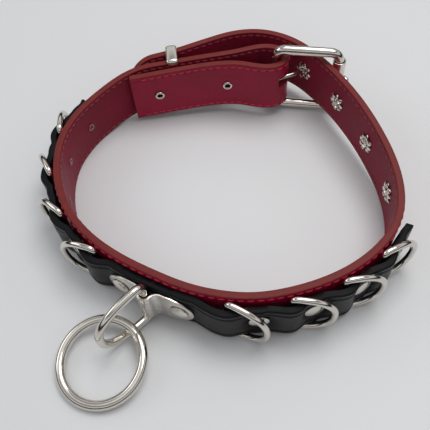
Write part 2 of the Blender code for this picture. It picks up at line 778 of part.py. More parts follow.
def make_tongue():
    """A wire bent round the heel bar, through its eyelet and over the roller."""
    heel = plan(HEEL)
    radius = BUCKLE_WIRE + GAP + TONGUE_WRAP_R
    eye = ROUTE.at(eyelet_lengths()[0])
    reach = np.linalg.norm(eye - heel)
    leave = math.degrees(math.atan2(*(eye - heel)[::-1]) - math.acos(radius / reach))
    wrap = arc(heel, radius, leave - TONGUE_WRAP_DEG, leave, 14)
    outer = ROUTE.outward(eyelet_lengths()[0])
    through = [eye - outer * 2.5 * MM, eye + outer * 0.5 * MM]
    path = [np.array(p) for p in wrap] + through + [plan(p) for p in TONGUE_OVER]
    smooth = cubic_curve(np.array(path[13:]), per_span=3)
    points = [(*(p - heel), TONGUE_RISE) for p in path[:13]]
    points += [(*(p - heel), TONGUE_RISE * (1 - smoothstep(i / 5))) for i, p in enumerate(smooth)]
    thin = TONGUE_WRAP_R / TONGUE_R
    shares = [thin] * 13 + [thin + (1 - thin) * smoothstep(i / 4) for i in range(len(smooth))]
    tongue = tube("buckle_tongue", points, TONGUE_R, "nickel", shares=shares)
    tongue.location = (*heel, middle_z(heel[1]))


def make_keeper():
    """A metal loop round the strap and its tip, with one leg between the strap and the folded end."""
    inner_s, axis = keeper_place()
    outward = ROUTE.outward(inner_s)
    tip_s = ROUTE.nearest(ROUTE.at(inner_s) + outward * 6 * MM, ROUTE.front, ROUTE.length)
    spread = float(np.dot(ROUTE.at(tip_s) - ROUTE.at(inner_s), outward))
    half = STRAP_WIDTH / 2 + KEEPER_SLACK
    near, far = -STRAP_THICK / 2 - 0.35 * MM, spread + STRAP_THICK / 2 + KEEPER_SLACK
    hole = [(near, -half), (far, -half), (far, half), (near, half)]
    low, high = near - KEEPER_INNER, far + KEEPER_OUTER
    rim = half + KEEPER_SIDE
    around = rounded_rectangle(low, high, rim, 1.2 * MM)
    obj = outline("keeper_loop", [around, hole], KEEPER_WIDTH / 2, "nickel")
    turn = Matrix((
        (outward[0], 0.0, -axis[0]),
        (outward[1], 0.0, -axis[1]),
        (0.0, 1.0, 0.0),
    ))
    obj.rotation_mode = "QUATERNION"
    obj.rotation_quaternion = turn.to_quaternion()
    obj.location = ROUTE.spot(inner_s)
    obj.location.z = (middle_z(ROUTE.at(inner_s)[1]) + middle_z(ROUTE.at(tip_s)[1])) / 2
    as_mesh(obj)


def keeper_place():
    """The keeper's length along the strap, and the direction it slides in."""
    s = ROUTE.nearest(plan(KEEPER_PLAN), fold_middle(), ROUTE.front)
    return s, ROUTE.tangent(s)


def rounded_rectangle(low, high, half, radius):
    points = []
    points += arc((high - radius, half - radius), radius, 0, 90, 4)
    points += arc((low + radius, half - radius), radius, 90, 180, 4)
    points += arc((low + radius, radius - half), radius, 180, 270, 4)
    points += arc((high - radius, radius - half), radius, 270, 360, 4)
    return points


def build():
    make_straps()
    make_overlay()
    make_bracket()
    make_leash_rings()
    make_d_rings()
    make_rivets()
    make_fold_rivets()
    make_eyelets()
    make_buckle()
    make_tongue()
    make_keeper()


clear_scene()
PARTS = new_collection(COLLECTION)
CUTTERS = new_collection(COLLECTION + "_cutters")
ROUTE = Route(STRAP_PLAN)
LOOKS = {
    "red": make_material("red_leather", RED, 0.35, 0.0),
    "lining": make_material("lining_leather", LINING_RED, 0.55, 0.0),
    "black": make_material("black_leather", BLACK, 0.5, 0.0),
    "nickel": make_material("nickel", NICKEL, 0.22, 1.0),
}
build()
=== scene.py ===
"""Looks of the leather ring collar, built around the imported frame.

Each leather piece is swept along the strap's route with its own section, creases, painted edges and
thread; each metal piece is a smooth version of its CAD node. Metres, +Z up.
"""

import json
import math

import bmesh
import bpy
import numpy as np
from mathutils import Matrix, Vector


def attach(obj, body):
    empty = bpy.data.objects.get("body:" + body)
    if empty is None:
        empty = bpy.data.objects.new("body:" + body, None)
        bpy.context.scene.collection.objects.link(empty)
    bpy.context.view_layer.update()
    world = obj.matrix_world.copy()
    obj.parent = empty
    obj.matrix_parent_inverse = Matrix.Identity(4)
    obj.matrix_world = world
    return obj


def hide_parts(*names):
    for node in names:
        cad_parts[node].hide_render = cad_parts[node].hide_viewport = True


MM = 0.001
UP = np.array([0.0, 0.0, 1.0])
SEED = 11

# ---------------------------------------------------------------- sizes, as the CAD has them

STRAP_WIDTH = 25.4 * MM
STRAP_THICK = 2.9 * MM
OVERLAY_WIDTH = 19.0 * MM
OVERLAY_THICK = 2.7 * MM
GAP = 0.3 * MM
HUMP = 3.2 * MM
PINCH = 2.4 * MM
END_LIFT = 2.0 * MM
RIGHT_TAIL = 8.0 * MM
LEFT_TAIL = 5.8 * MM
REAR_LIFT = 5.6 * MM
LIFT_FROM, LIFT_TO = 16.0 * MM, 71.0 * MM
PLAN_SHIFT = (-0.21, 10.6)

# The middle of the red strap in plan, in millimetres: fold, heel bar, left, front, right, tip.
STRAP_PLAN = [
    (-58.5, 28.9), (-47.0, 36.2), (-35.0, 43.8), (-23.0, 50.7), (-14.0, 54.1), (-6.4, 55.4),
    (-0.4, 57.6), (3.2, 61.6), (2.9, 66.4), (-1.3, 69.4), (-7.2, 69.0), (-12.6, 66.0),
    (-18.0, 61.4), (-26.0, 55.6), (-35.0, 49.8), (-47.0, 42.2), (-56.0, 36.2), (-62.2, 29.0),
    (-66.8, 19.5), (-69.8, 9.5), (-70.6, 0.0), (-69.8, -8.5), (-66.8, -17.5), (-61.8, -26.3),
    (-55.0, -34.5), (-46.2, -41.7), (-36.0, -47.0), (-24.5, -50.5), (-12.0, -52.3), (0.0, -52.8),
    (12.0, -52.5), (24.5, -50.2), (36.0, -45.9), (46.2, -39.3), (55.5, -31.0), (63.5, -21.2),
    (69.3, -10.2), (72.3, 1.0), (72.0, 11.0), (68.6, 21.0), (62.4, 31.0), (54.6, 40.2),
    (45.0, 49.8), (34.8, 58.6), (25.5, 65.6), (17.0, 70.9), (8.5, 75.2), (0.5, 77.6),
    (-7.0, 78.2), (-14.5, 77.1), (-21.5, 74.1), (-27.4, 69.8), (-34.0, 63.0), (-40.5, 55.8),
    (-47.6, 48.9), (-54.6, 43.4), (-59.4, 39.4), (-63.0, 35.2),
]
FRONT_POINT = 29

RIGHT_RIVETS = [38.4 * MM, 58.0 * MM, 77.3 * MM, 96.6 * MM]
LEFT_RIVETS = [39.0 * MM, 61.0 * MM, 83.0 * MM, 105.0 * MM]
RIGHT_BARS = [27.4 * MM, 49.7 * MM, 69.5 * MM, 87.3 * MM]
LEFT_BARS = [26.3 * MM, 48.2 * MM, 69.0 * MM, 91.0 * MM]
BRACKET_SHIFT = -1.6 * MM
BRACKET_RIVET = 12.3 * MM
BRACKET_FLAT = 14.8 * MM
EYELET_START = (9.7, 73.4)
EYELET_PITCH = 25.4 * MM
EYELETS = 4
FOLD_RIVETS = [(-48.4, 36.2), (-20.6, 53.0)]
FOLD_NOSE = (3.2, 63.8)
FOLD_DEPTH = 4.6 * MM
KEEPER_PLAN = (-44.0, 44.2)

D_WIRE = 1.3 * MM
D_HALF_HEIGHT = 11.4 * MM
D_DEPTH = 16.0 * MM
D_CORNER = 2.0 * MM
D_REST_DEG = {"r1": 18, "r2": 18, "r3": 16, "r4": 15, "l1": 17, "l2": 18, "l3": 19, "l4": 22}
BOW_POWER = 2.35
LEASH_WIRE = 1.65 * MM
LEASH_HALF_HEIGHT = 12.6 * MM
LEASH_DEPTH = 21.9 * MM
LEASH_CORNER = 3.0 * MM
LEASH_TURN_DEG = 20.0
O_WIRE = 1.95 * MM
O_RADIUS = 15.9 * MM
O_TURN_DEG = 13.5

BRACKET_REACH = 17.6 * MM
BRACKET_HALF = 8.0 * MM
BRACKET_SHEET = 1.0 * MM
TUBE_STANDOFF = 0.95 * MM

HEEL = (-0.7, 63.5)
FAR_BAR = (26.3, 71.7)
BUCKLE_WIRE = 2.1 * MM
BUCKLE_HALF_HEIGHT = STRAP_WIDTH / 2 + 1.4 * MM + BUCKLE_WIRE
BUCKLE_LIFT = 0.8 * MM
HEEL_CORNER_R = 4.0 * MM
FAR_CORNER_R = 4.6 * MM
ROLLER_R = 2.9 * MM
ROLLER_BORE_R = 2.4 * MM
ROLLER_HALF = 12.2 * MM
TONGUE_R = 1.4 * MM
TONGUE_WRAP_R = 0.85 * MM
TONGUE_RISE = 2.0 * MM
TONGUE_WRAP_DEG = 250.0
TONGUE_OVER = [(12.0, 77.6), (14.6, 79.3), (18.0, 79.6), (22.0, 78.4), (26.0, 76.6), (30.0, 74.6)]
SLOT_BOX = ((-1.0, 58.6), (7.6, 72.3))
SLOT_HALF = 2.5 * MM
KEEPER_WIDTH = 5.2 * MM
KEEPER_SLACK = 0.8 * MM
KEEPER_SHEET = 1.1 * MM

# Sizes of the fine detail
PLY_SEAM = 0.01 * MM  # between the two plies under the edge paint
EDGE_ROUND = 0.55 * MM
STITCH_INSET = 1.7 * MM
STITCH_PITCH = 3.45 * MM
STITCH_LENGTH = 2.75 * MM
STITCH_HALF_WIDTH = 0.36 * MM
CREASE_INSETS = (2.3 * MM, 3.1 * MM)
STITCH_SINK = 0.13 * MM
VALLEY_LIFT = 1.3 * MM  # of the black strap's edges beside its rivets
VALLEY_REACH = 8.0 * MM
DIMPLE_DEPTH, DIMPLE_R = 0.5 * MM, 4.9 * MM  # of the black strap round its rivets
END_CLIP = 1.6 * MM  # of the black strap's end corners
HEAD_R = 3.9 * MM
BRACKET_HEAD_R = 3.75 * MM
HEAD_RISE = 1.3 * MM
BRACKET_SEAT = 0.12 * MM  # between the bracket and the black strap
EYELET_HOLE_R = 2.6 * MM
FOLD_HOLE_R = 1.9 * MM
PETALS = 8  # of each eyelet's split barrel
FLARE_R = 3.5 * MM  # of the bracket's bend from each ear to its tube
FLARE_DEG = 74.0
EAR_START = 7.8 * MM  # where the bracket's ears begin to taper

CAMERA_PLACE = (0.06719, -0.11214, 0.20574)
CAMERA_TILT_DEG, CAMERA_TURN_DEG, CAMERA_ROLL_DEG = 57.0, 30.0, 5.25
CAMERA_LENS_MM = 46.88


# ---------------------------------------------------------------- the strap's route


def cubic_curve(points, per_span=24):
    """A natural cubic spline through plan points, as closely spaced points."""
    spans = np.linalg.norm(np.diff(points, axis=0), axis=1)
    count = len(points)
    system = np.eye(count)
    right = np.zeros((count, 2))
    for i in range(1, count - 1):
        system[i, i - 1 : i + 2] = spans[i - 1], 2 * (spans[i - 1] + spans[i]), spans[i]
        after = (points[i + 1] - points[i]) / spans[i]
        before = (points[i] - points[i - 1]) / spans[i - 1]
        right[i] = 6 * (after - before)
    bend = np.linalg.solve(system, right)
    rows = []
    for i in range(count - 1):
        for k in range(per_span):
            b = k / per_span
            a = 1 - b
            curl = (a**3 - a) * bend[i] + (b**3 - b) * bend[i + 1]
            rows.append(a * points[i] + b * points[i + 1] + spans[i] ** 2 / 6 * curl)
    rows.append(points[-1])
    return np.array(rows)


def plan(point):
    """A plan point in millimetres as metres in the collar's frame."""
    return np.array([point[0] + PLAN_SHIFT[0], point[1] + PLAN_SHIFT[1]]) * MM


def smoothstep(t):
    t = min(1.0, max(0.0, t))
    return t * t * (3 - 2 * t)


def middle_z(y):
    return STRAP_WIDTH / 2 + REAR_LIFT * smoothstep((y - LIFT_FROM) / (LIFT_TO - LIFT_FROM))


class Route:
    """The middle line of the red strap, measured by its length."""

    def __init__(self, points):
        knots = np.array([plan(p) for p in points])
        self.line = cubic_curve(knots)
        steps = np.linalg.norm(np.diff(self.line, axis=0), axis=1)
        self.along = np.concatenate([[0.0], np.cumsum(steps)])
        self.length = self.along[-1]
        self.front = self.nearest(knots[FRONT_POINT], 0.0, self.length)

    def nearest(self, spot, low, high):
        far = np.linalg.norm(self.line - spot, axis=1)
        far[(self.along < low) | (self.along > high)] = np.inf
        return self.along[int(np.argmin(far))]

    def at(self, s):
        return np.array([np.interp(s, self.along, self.line[:, k]) for k in (0, 1)])

    def tangent(self, s):
        step = self.at(s + 0.4 * MM) - self.at(s - 0.4 * MM)
        return np.array([*(step / np.linalg.norm(step)), 0.0])

    def outward(self, s):
        x, y, _ = self.tangent(s)
        return np.array([y, -x, 0.0])

    def middle(self, s):
        x, y = self.at(s)
        return np.array([x, y, middle_z(y)])

    def spot(self, s, offset=0.0, rise=0.0):
        """A point at an offset from the strap's middle surface, rise above its middle height."""
        return self.middle(s) + self.outward(s) * offset + UP * rise

    def stations(self, start, end, turn, longest, shortest):
        """Lengths from start to end, closer together where the strap bends more."""
        found = [start]
        while found[-1] < end:
            here = found[-1]
            before, after = self.tangent(here), self.tangent(min(here + MM, self.length))
            bend = abs(before[0] * after[1] - before[1] * after[0]) / MM
            found.append(here + min(longest, max(shortest, turn / max(bend, 1.0))))
        scale = (end - start) / (found[-1] - start)
        return [start + (s - start) * scale for s in found]


ROUTE = Route(STRAP_PLAN)


# ---------------------------------------------------------------- mesh helpers


def add_mesh(name, points, faces, looks, slots=None, crease_deg=45):
    """A closed, smooth-shaded mesh object; faces sharper than crease_deg keep their edge."""
    data = bpy.data.meshes.new(name)
    data.from_pydata([tuple(p) for p in points], [], faces)
    for look in looks:
        data.materials.append(look)
    if slots:
        data.polygons.foreach_set("material_index", slots)
    mesh = bmesh.new()
    mesh.from_mesh(data)
    bmesh.ops.remove_doubles(mesh, verts=mesh.verts, dist=1e-7)
    bmesh.ops.recalc_face_normals(mesh, faces=mesh.faces)
    mesh.to_mesh(data)
    mesh.free()
    data.shade_smooth()
    data.set_sharp_from_angle(angle=math.radians(crease_deg))
    obj = bpy.data.objects.new(name, data)
    bpy.context.scene.collection.objects.link(obj)
    return obj


def swept(rings, closed=False, labels=None, cap_label=0):
    """Points, faces and slots of a skin through rings of equally many points."""
    count = len(rings[0])
    points = [p for ring in rings for p in ring]
    labels = labels or [0] * count
    faces, slots = [], []
    for i in range(len(rings) - (0 if closed else 1)):
        a, b = i * count, (i + 1) % len(rings) * count
        for k in range(count):
            n = (k + 1) % count
            faces.append((a + k, a + n, b + n, b + k))
            slots.append(labels[k])
    if not closed:
        last = (len(rings) - 1) * count
        faces += [tuple(range(count))[::-1], tuple(range(last, last + count))]
        slots += [cap_label, cap_label]
    return points, faces, slots


def joined(parts):
    """Several (points, faces, slots) as one."""
    points, faces, slots = [], [], []
    for some_points, some_faces, some_slots in parts:
        base = len(points)
        points += list(some_points)
        faces += [tuple(i + base for i in face) for face in some_faces]
        slots += list(some_slots)
    return points, faces, slots


def turned(profile, center, way, steps=48):
    """A profile of (radius, height) rows turned round the line from center along way."""
    rotation = Vector(way).to_track_quat("Z", "Y").to_matrix()
    rings = []
    for i in range(steps):
        angle = 2 * math.pi * i / steps
        ring = [Vector((r * math.cos(angle), r * math.sin(angle), z)) for r, z in profile]
        rings.append([np.array(center) + np.array(rotation @ p) for p in ring])
    points, faces, slots = swept(rings, closed=True)
    count = len(profile)
    if profile[0][0] == 0.0 and profile[-1][0] == 0.0:
        kept = [i for i in range(len(faces)) if i % count != count - 1]
        faces, slots = [faces[i] for i in kept], [slots[i] for i in kept]
    return points, faces, slots


def arc(center, radius, start_deg, end_deg, count):
    angles = np.radians(np.linspace(start_deg, end_deg, count))
    return [(center[0] + radius * math.cos(a), center[1] + radius * math.sin(a)) for a in angles]


def wire(path, radius, binormal, cyclic=False, sides=20, shares=None):
    """A round wire along a path; shares thin it from point to point."""
    path = [np.array(p, float) for p in path]
    binormal = np.array(binormal, float)
    total = len(path)
    radii = [radius * share for share in shares or [1.0] * total]
    rings = []
    for i, point in enumerate(path):
        before = path[i - 1] if cyclic or i else point
        after = path[(i + 1) % total] if cyclic or i < total - 1 else point
        along = (after - before) / np.linalg.norm(after - before)
        side = np.cross(binormal, along)
        side /= np.linalg.norm(side)
        up = np.cross(along, side)
        angles = np.linspace(0, 2 * math.pi, sides, endpoint=False)
        rings.append([point + radii[i] * (math.cos(a) * side + math.sin(a) * up) for a in angles])
        if not cyclic and i in (0, total - 1):
            rings[-1:] = rounded_end(rings[-1], point, along if i else -along, radii[i], bool(i))
    return swept(rings, closed=cyclic)


def rounded_end(ring, point, way, radius, last):
    """The rings that close a wire's end with a dome."""
    made = []
    for deg in (0, 30, 55, 75, 88):
        turn = math.radians(deg)
        made.append([point + (p - point) * math.cos(turn) + way * radius * math.sin(turn) for p in ring])
    return made if last else made[::-1]


def cylinder_cutter(name, start, end, radius, look, sides=32):
    start, end = Vector(start), Vector(end)
    mesh = bmesh.new()
    turn = (end - start).to_track_quat("Z", "Y").to_matrix().to_4x4()
    bmesh.ops.create_cone(
        mesh, cap_ends=True, segments=sides, radius1=radius, radius2=radius,
        depth=(end - start).length, matrix=Matrix.Translation((start + end) / 2) @ turn,
    )
    data = bpy.data.meshes.new(name)
    mesh.to_mesh(data)
    mesh.free()
    data.materials.append(look)
    obj = bpy.data.objects.new(name, data)
    bpy.context.scene.collection.objects.link(obj)
    return obj


def cut_out(obj, cutters, crease_deg=40):
    """Cuts the cutters out of obj, then removes them."""
    for cutter in cutters:
        boolean = obj.modifiers.new("hole", "BOOLEAN")
        boolean.operation = "DIFFERENCE"
        boolean.solver = "EXACT"
        boolean.material_mode = "TRANSFER"
        boolean.object = cutter
    bpy.context.view_layer.update()
    graph = bpy.context.evaluated_depsgraph_get()
    data = bpy.data.meshes.new_from_object(obj.evaluated_get(graph))
    obj.modifiers.clear()
    obj.data = data
    data.shade_smooth()
    data.set_sharp_from_angle(angle=math.radians(crease_deg))
    for cutter in cutters:
        bpy.data.objects.remove(cutter, do_unlink=True)


def piece(name, parts, looks, body, slot, *nodes, crease_deg=45):
    """A finished piece that rides on a body and stands for these CAD nodes."""
    points, faces, slots = joined(parts)
    obj = add_mesh(name, points, faces, looks, slots, crease_deg)
    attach(obj, body)
    if nodes:
        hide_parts(*nodes)
    return obj


# ---------------------------------------------------------------- materials


class Looks:
    """One node material, built up with short calls."""

    def __init__(self, name, color, roughness, metallic=0.0):
        self.made = bpy.data.materials.new(name)
        self.made.use_nodes = True
        self.tree = self.made.node_tree
        self.shader = self.tree.nodes["Principled BSDF"]
        self.shader.inputs["Base Color"].default_value = (*color, 1.0)
        self.shader.inputs["Roughness"].default_value = roughness
        self.shader.inputs["Metallic"].default_value = metallic
        self.spot = self.node("ShaderNodeTexCoord").outputs["Object"]

    def node(self, kind, inputs=None, **settings):
        made = self.tree.nodes.new(kind)
        for key, value in settings.items():
            setattr(made, key, value)
        for key, value in (inputs or {}).items():
            if isinstance(value, bpy.types.NodeSocket):
                self.tree.links.new(value, made.inputs[key])
            else:
                made.inputs[key].default_value = value
        return made

    def link(self, output, name):
        self.tree.links.new(output, self.shader.inputs[name])

    def noise(self, scale, detail=3.0, rough=0.55, spot=None):
        inputs = {"Vector": spot or self.spot, "Scale": scale, "Detail": detail, "Roughness": rough}
        return self.node("ShaderNodeTexNoise", inputs)

    def cells(self, scale, feature="DISTANCE_TO_EDGE", spot=None):
        return self.node(
            "ShaderNodeTexVoronoi", {"Vector": spot or self.spot, "Scale": scale}, feature=feature
        ).outputs["Distance"]

    def span(self, value, low, high, new_low, new_high):
        inputs = {"Value": value, "From Min": low, "From Max": high, "To Min": new_low, "To Max": new_high}
        return self.node("ShaderNodeMapRange", inputs).outputs["Result"]

    def mix(self, factor, first, second):
        made = self.node("ShaderNodeMix", data_type="RGBA")
        for socket, value in ((made.inputs[0], factor), (made.inputs[6], first), (made.inputs[7], second)):
            if isinstance(value, bpy.types.NodeSocket):
                self.tree.links.new(value, socket)
            else:
                socket.default_value = value if isinstance(value, float) else (*value, 1.0)
        return made.outputs[2]

    def bump(self, height, depth, strength=1.0, under=None):
        """Relief of this depth in metres, on top of an earlier bump."""
        inputs = {"Height": height, "Distance": depth, "Strength": strength}
        if under:
            inputs["Normal"] = under
        return self.node("ShaderNodeBump", inputs).outputs["Normal"]

    def bent_spot(self, scale, amount):
        """The texture position pushed about by noise, so that cells aren't regular."""
        push = self.noise(scale, 2.0).outputs["Color"]
        push = self.node("ShaderNodeVectorMath", {0: push, 1: (0.5, 0.5, 0.5)}, operation="SUBTRACT")
        push = self.node("ShaderNodeVectorMath", {0: push.outputs[0], "Scale": amount}, operation="SCALE")
        return self.node("ShaderNodeVectorMath", {0: self.spot, 1: push.outputs[0]}).outputs[0]


def leather(name, light, dark, grain, grain_depth, gloss, coat=0.0, coat_rough=0.3, shine=0.45):
    """Grained leather: pebbles of the grain size with painted shade in the cracks between them, pores,
    mottled colour and uneven gloss.
    """
    look = Looks(name, light, gloss)
    bent = look.bent_spot(600.0, 0.0006)
    pebbles = look.cells(1.0 / grain, spot=bent)
    cracks = look.span(pebbles, 0.0, 0.16, 0.0, 1.0)
    mottle = look.noise(85.0, 4.0, 0.6).outputs["Fac"]
    fine = look.noise(2600.0, 2.0).outputs["Fac"]
    base = look.mix(look.span(mottle, 0.32, 0.68, 0.0, 1.0), dark, light)
    # Painted shade: the colour darkens towards 0.45 of the dark tone in the cracks between the pebbles.
    painted_crack_shade = look.mix(look.span(cracks, 0.0, 1.0, 0.35, 0.0), base, tuple(c * 0.45 for c in dark))
    look.link(painted_crack_shade, "Base Color")
    look.link(look.span(mottle, 0.3, 0.7, gloss - 0.05, gloss + 0.07), "Roughness")
    relief = look.bump(cracks, grain_depth)
    relief = look.bump(fine, grain_depth * 0.35, under=relief)
    rolling = look.noise(150.0, 2.0).outputs["Fac"]
    look.link(look.bump(rolling, 0.00022, under=relief), "Normal")
    look.shader.inputs["Coat Weight"].default_value = coat
    look.shader.inputs["Coat Roughness"].default_value = coat_rough
    look.shader.inputs["Specular IOR Level"].default_value = shine
    return look.made


def painted_edge(name, light, dark, shine=0.25):
    """Edge paint: smooth, slightly lumpy, with faint patches of darker tone."""
    look = Looks(name, light, 0.55)
    patch = look.noise(260.0, 4.0, 0.65).outputs["Fac"]
    look.link(look.mix(look.span(patch, 0.3, 0.7, 0.0, 1.0), dark, light), "Base Color")
    lumps = look.noise(700.0, 3.0).outputs["Fac"]
    look.link(look.bump(lumps, 0.00008), "Normal")
    look.link(look.span(patch, 0.3, 0.7, 0.48, 0.62), "Roughness")
    look.shader.inputs["Specular IOR Level"].default_value = shine
    return look.made


def thread(name, light, dark):
    """Twisted sewing thread: diagonal strands across each stitch."""
    look = Looks(name, light, 0.55)
    strands = look.node(
        "ShaderNodeTexWave",
        {"Vector": look.spot, "Scale": 900.0, "Distortion": 1.5, "Detail": 1.0},
        bands_direction="DIAGONAL",
    ).outputs["Fac"]
    look.link(look.mix(strands, dark, light), "Base Color")
    look.link(look.bump(strands, 0.00006), "Normal")
    look.shader.inputs["Sheen Weight"].default_value = 0.3
    return look.made


def nickel(name, color, rough, wear=0.06):
    """Polished plate: faint waves, fine scratches, a few duller patches."""
    look = Looks(name, color, rough, 1.0)
    patch = look.noise(190.0, 4.0, 0.6).outputs["Fac"]
    look.link(look.span(patch, 0.35, 0.7, rough - wear / 2, rough + wear), "Roughness")
    tint = look.span(patch, 0.3, 0.7, 0.0, 1.0)
    look.link(look.mix(tint, color, tuple(c * 0.9 for c in color)), "Base Color")
    stretched = look.node(
        "ShaderNodeMapping", {"Vector": look.spot, "Rotation": (0.4, 0.7, 0.2), "Scale": (1.0, 14.0, 5.0)}
    ).outputs[0]
    scratches = look.noise(420.0, 3.0, 0.7, spot=stretched).outputs["Fac"]
    waves = look.noise(130.0, 2.0).outputs["Fac"]
    relief = look.bump(scratches, 0.00001, 0.6)
    look.link(look.bump(waves, 0.00007, under=relief), "Normal")
    return look.made


RED = leather(
    "red_outer_leather", (0.38, 0.003, 0.042), (0.31, 0.0025, 0.034), 0.0011, 0.00003, 0.33,
    coat=0.08, coat_rough=0.2, shine=0.2,
)
LINING = leather(
    "red_lining_leather", (0.27, 0.006, 0.032), (0.20, 0.0045, 0.024), 0.00085, 0.00007, 0.46, shine=0.22
)
BLACK = leather(
    "black_leather", (0.0035, 0.004, 0.006), (0.002, 0.0023, 0.0035), 0.0009, 0.00006, 0.34,
    coat=0.06, coat_rough=0.22, shine=0.16,
)
EDGE = painted_edge("brown_red_edge_paint", (0.19, 0.022, 0.020), (0.14, 0.015, 0.014))
BLACK_EDGE = painted_edge("black_edge_paint", (0.004, 0.0045, 0.006), (0.0025, 0.003, 0.004), 0.15)
THREAD = thread("red_thread", (0.80, 0.006, 0.055), (0.45, 0.003, 0.028))
DARK_THREAD = thread("lining_thread", (0.36, 0.012, 0.040), (0.20, 0.006, 0.020))
NICKEL = nickel("nickel_plate", (0.75, 0.71, 0.65), 0.10)
SATIN = nickel("satin_nickel", (0.76, 0.725, 0.665), 0.22, 0.08)
# Painted shade: a darker copy of the nickel for the rivet sockets on the lining inside the loop, tinted red
# as a painted reflection of the lining.
SHADED_NICKEL = nickel("shaded_nickel", (0.30, 0.20, 0.19), 0.35, 0.10)


# ---------------------------------------------------------------- red strap


def ripple(s, share):
    """The strap's faint waviness, most at its edges."""
    t = s / MM
    return 0.07 * MM * (math.sin(t / 7.3 + math.sin(t / 19.0)) + 0.5 * math.sin(t / 3.9 + 1.0)) * share


def groove(inset, at, width, depth):
    return depth * math.exp(-(((inset - at) / width) ** 2))


def half_width(s):
    """Half of the red strap's width, with the rounded tip."""
    half = STRAP_WIDTH / 2
    left = ROUTE.length - s
    if left >= half:
        return half
    return max(half * math.sqrt(max(0.0, 1 - (1 - left / half) ** 2)), 0.9 * MM)


def ply_relief(inset):
    """How far the ply's face lies under flat: the stitched groove, and the fall to the edge."""
    return groove(inset, STITCH_INSET, 0.45 * MM, 0.16 * MM) + groove(inset, 0.0, 0.9 * MM, 0.12 * MM)


PLY_INSETS = [0.75, 1.0, 1.2, 1.35, 1.5, 1.7, 1.9, 2.05, 2.25, 2.6, 3.4, 5.0, 7.5, 10.0]


def ply_section(side):
    """The section of one ply at a length: side is 1 for the outer ply and -1 for the lining."""
    full = STRAP_WIDTH / 2
    insets = [i * MM for i in PLY_INSETS]
    face = [(inset, -1) for inset in insets] + [(full, 0)] + [(inset, 1) for inset in reversed(insets)]
    corner = arc((0.0, 0.0), EDGE_ROUND, 0, 90, 5)

    def rows(s):
        half = half_width(s)
        scale = half / full
        outer = STRAP_THICK / 2
        made = [(outer - EDGE_ROUND + x, -half + EDGE_ROUND * scale - y * scale) for x, y in reversed(corner)]
        for inset, sign in face[1:-1]:
            rise = sign * (half - inset * scale)
            made.append((outer - ply_relief(inset) - ripple(s, abs(rise) / full), rise))
        made += [(outer - EDGE_ROUND + x, half - EDGE_ROUND * scale + y * scale) for x, y in corner]
        made += [(PLY_SEAM, half), (PLY_SEAM, -half)]
        return [(side * offset, rise) for offset, rise in made]

    count = len(rows(0.0))
    labels = [1 if k < 4 or k >= count - 6 else 0 for k in range(count)]
    return rows, labels


def strap_stations():
    tip = STRAP_WIDTH / 2
    stations = ROUTE.stations(0.0, ROUTE.length - tip, 0.045, 1.6 * MM, 0.45 * MM)
    bends = [1 - math.cos(math.radians(a)) for a in np.linspace(0, 90, 20)][1:]
    return stations + [ROUTE.length - tip * (1 - math.sin(math.acos(1 - b))) for b in bends]


def make_ply(name, side, look, node, cutters):
    rows, labels = ply_section(side)
    rings = []
    for s in strap_stations():
        middle, outward = ROUTE.middle(s), ROUTE.outward(s)
        rings.append([middle + outward * offset + UP * rise for offset, rise in rows(s)])
    points, faces, slots = swept(rings, labels=labels, cap_label=1)
    obj = add_mesh(name, points, faces, (look, EDGE), slots)
    cut_out(obj, cutters)
    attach(obj, "collar")
    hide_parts(node)
    return obj


def eyelet_lengths():
    first = ROUTE.nearest(plan(EYELET_START), ROUTE.front, ROUTE.length)
    return [first - EYELET_PITCH * i for i in range(EYELETS)]


def fold_middle():
    return ROUTE.nearest(plan(FOLD_NOSE), 0.0, ROUTE.front)


def fold_ends():
    """For each tubular rivet, its ends on the folded end's face and on the strap's face behind."""
    pairs = []
    for spot in FOLD_RIVETS:
        inner = ROUTE.nearest(plan(spot), 0.0, fold_middle())
        behind = ROUTE.at(inner) - ROUTE.outward(inner)[:2] * FOLD_DEPTH
        outer = ROUTE.nearest(behind, fold_middle(), ROUTE.front)
        pairs.append((ROUTE.spot(inner, STRAP_THICK / 2), ROUTE.spot(outer, STRAP_THICK / 2)))
    return pairs


def strap_cutters():
    reach = STRAP_THICK
    cutters = []
    for s in eyelet_lengths():
        low, high = ROUTE.spot(s, -reach), ROUTE.spot(s, reach)
        cutters.append(cylinder_cutter("eyelet_hole", low, high, EYELET_HOLE_R, EDGE))
    for front, back in fold_ends():
        way = (front - back) / np.linalg.norm(front - back)
        cutters.append(cylinder_cutter("fold_hole", back - way * MM, front + way * MM, FOLD_HOLE_R, EDGE))
    (low_x, low_y), (high_x, high_y) = (plan(corner) for corner in SLOT_BOX)
    z = middle_z(high_y) + TONGUE_RISE
    slot = cylinder_cutter("slot", (low_x, low_y, z), (high_x, high_y, z), SLOT_HALF, EDGE)
    slot.data.clear_geometry()
    mesh = bmesh.new()
    bmesh.ops.create_cube(mesh, size=1.0)
    mesh.to_mesh(slot.data)
    mesh.free()
    slot.data.transform(
        Matrix.Translation(((low_x + high_x) / 2, (low_y + high_y) / 2, z))
        @ Matrix.Diagonal((high_x - low_x, high_y - low_y, 2 * SLOT_HALF, 1.0))
    )
    cutters.append(slot)
    return cutters


def stitch_path():
    """The sewn line in (length, rise): along the lower edge, round the tip and back."""
    radius = STRAP_WIDTH / 2 - STITCH_INSET
    turn = ROUTE.length - STRAP_WIDTH / 2
    lower = [(s, -radius) for s in np.linspace(2.0 * MM, turn, 900)]
    tip = [(turn + radius * math.sin(a), -radius * math.cos(a)) for a in np.linspace(0, math.pi, 40)[1:-1]]
    return np.array(lower + tip + [(s, -rise) for s, rise in reversed(lower)])


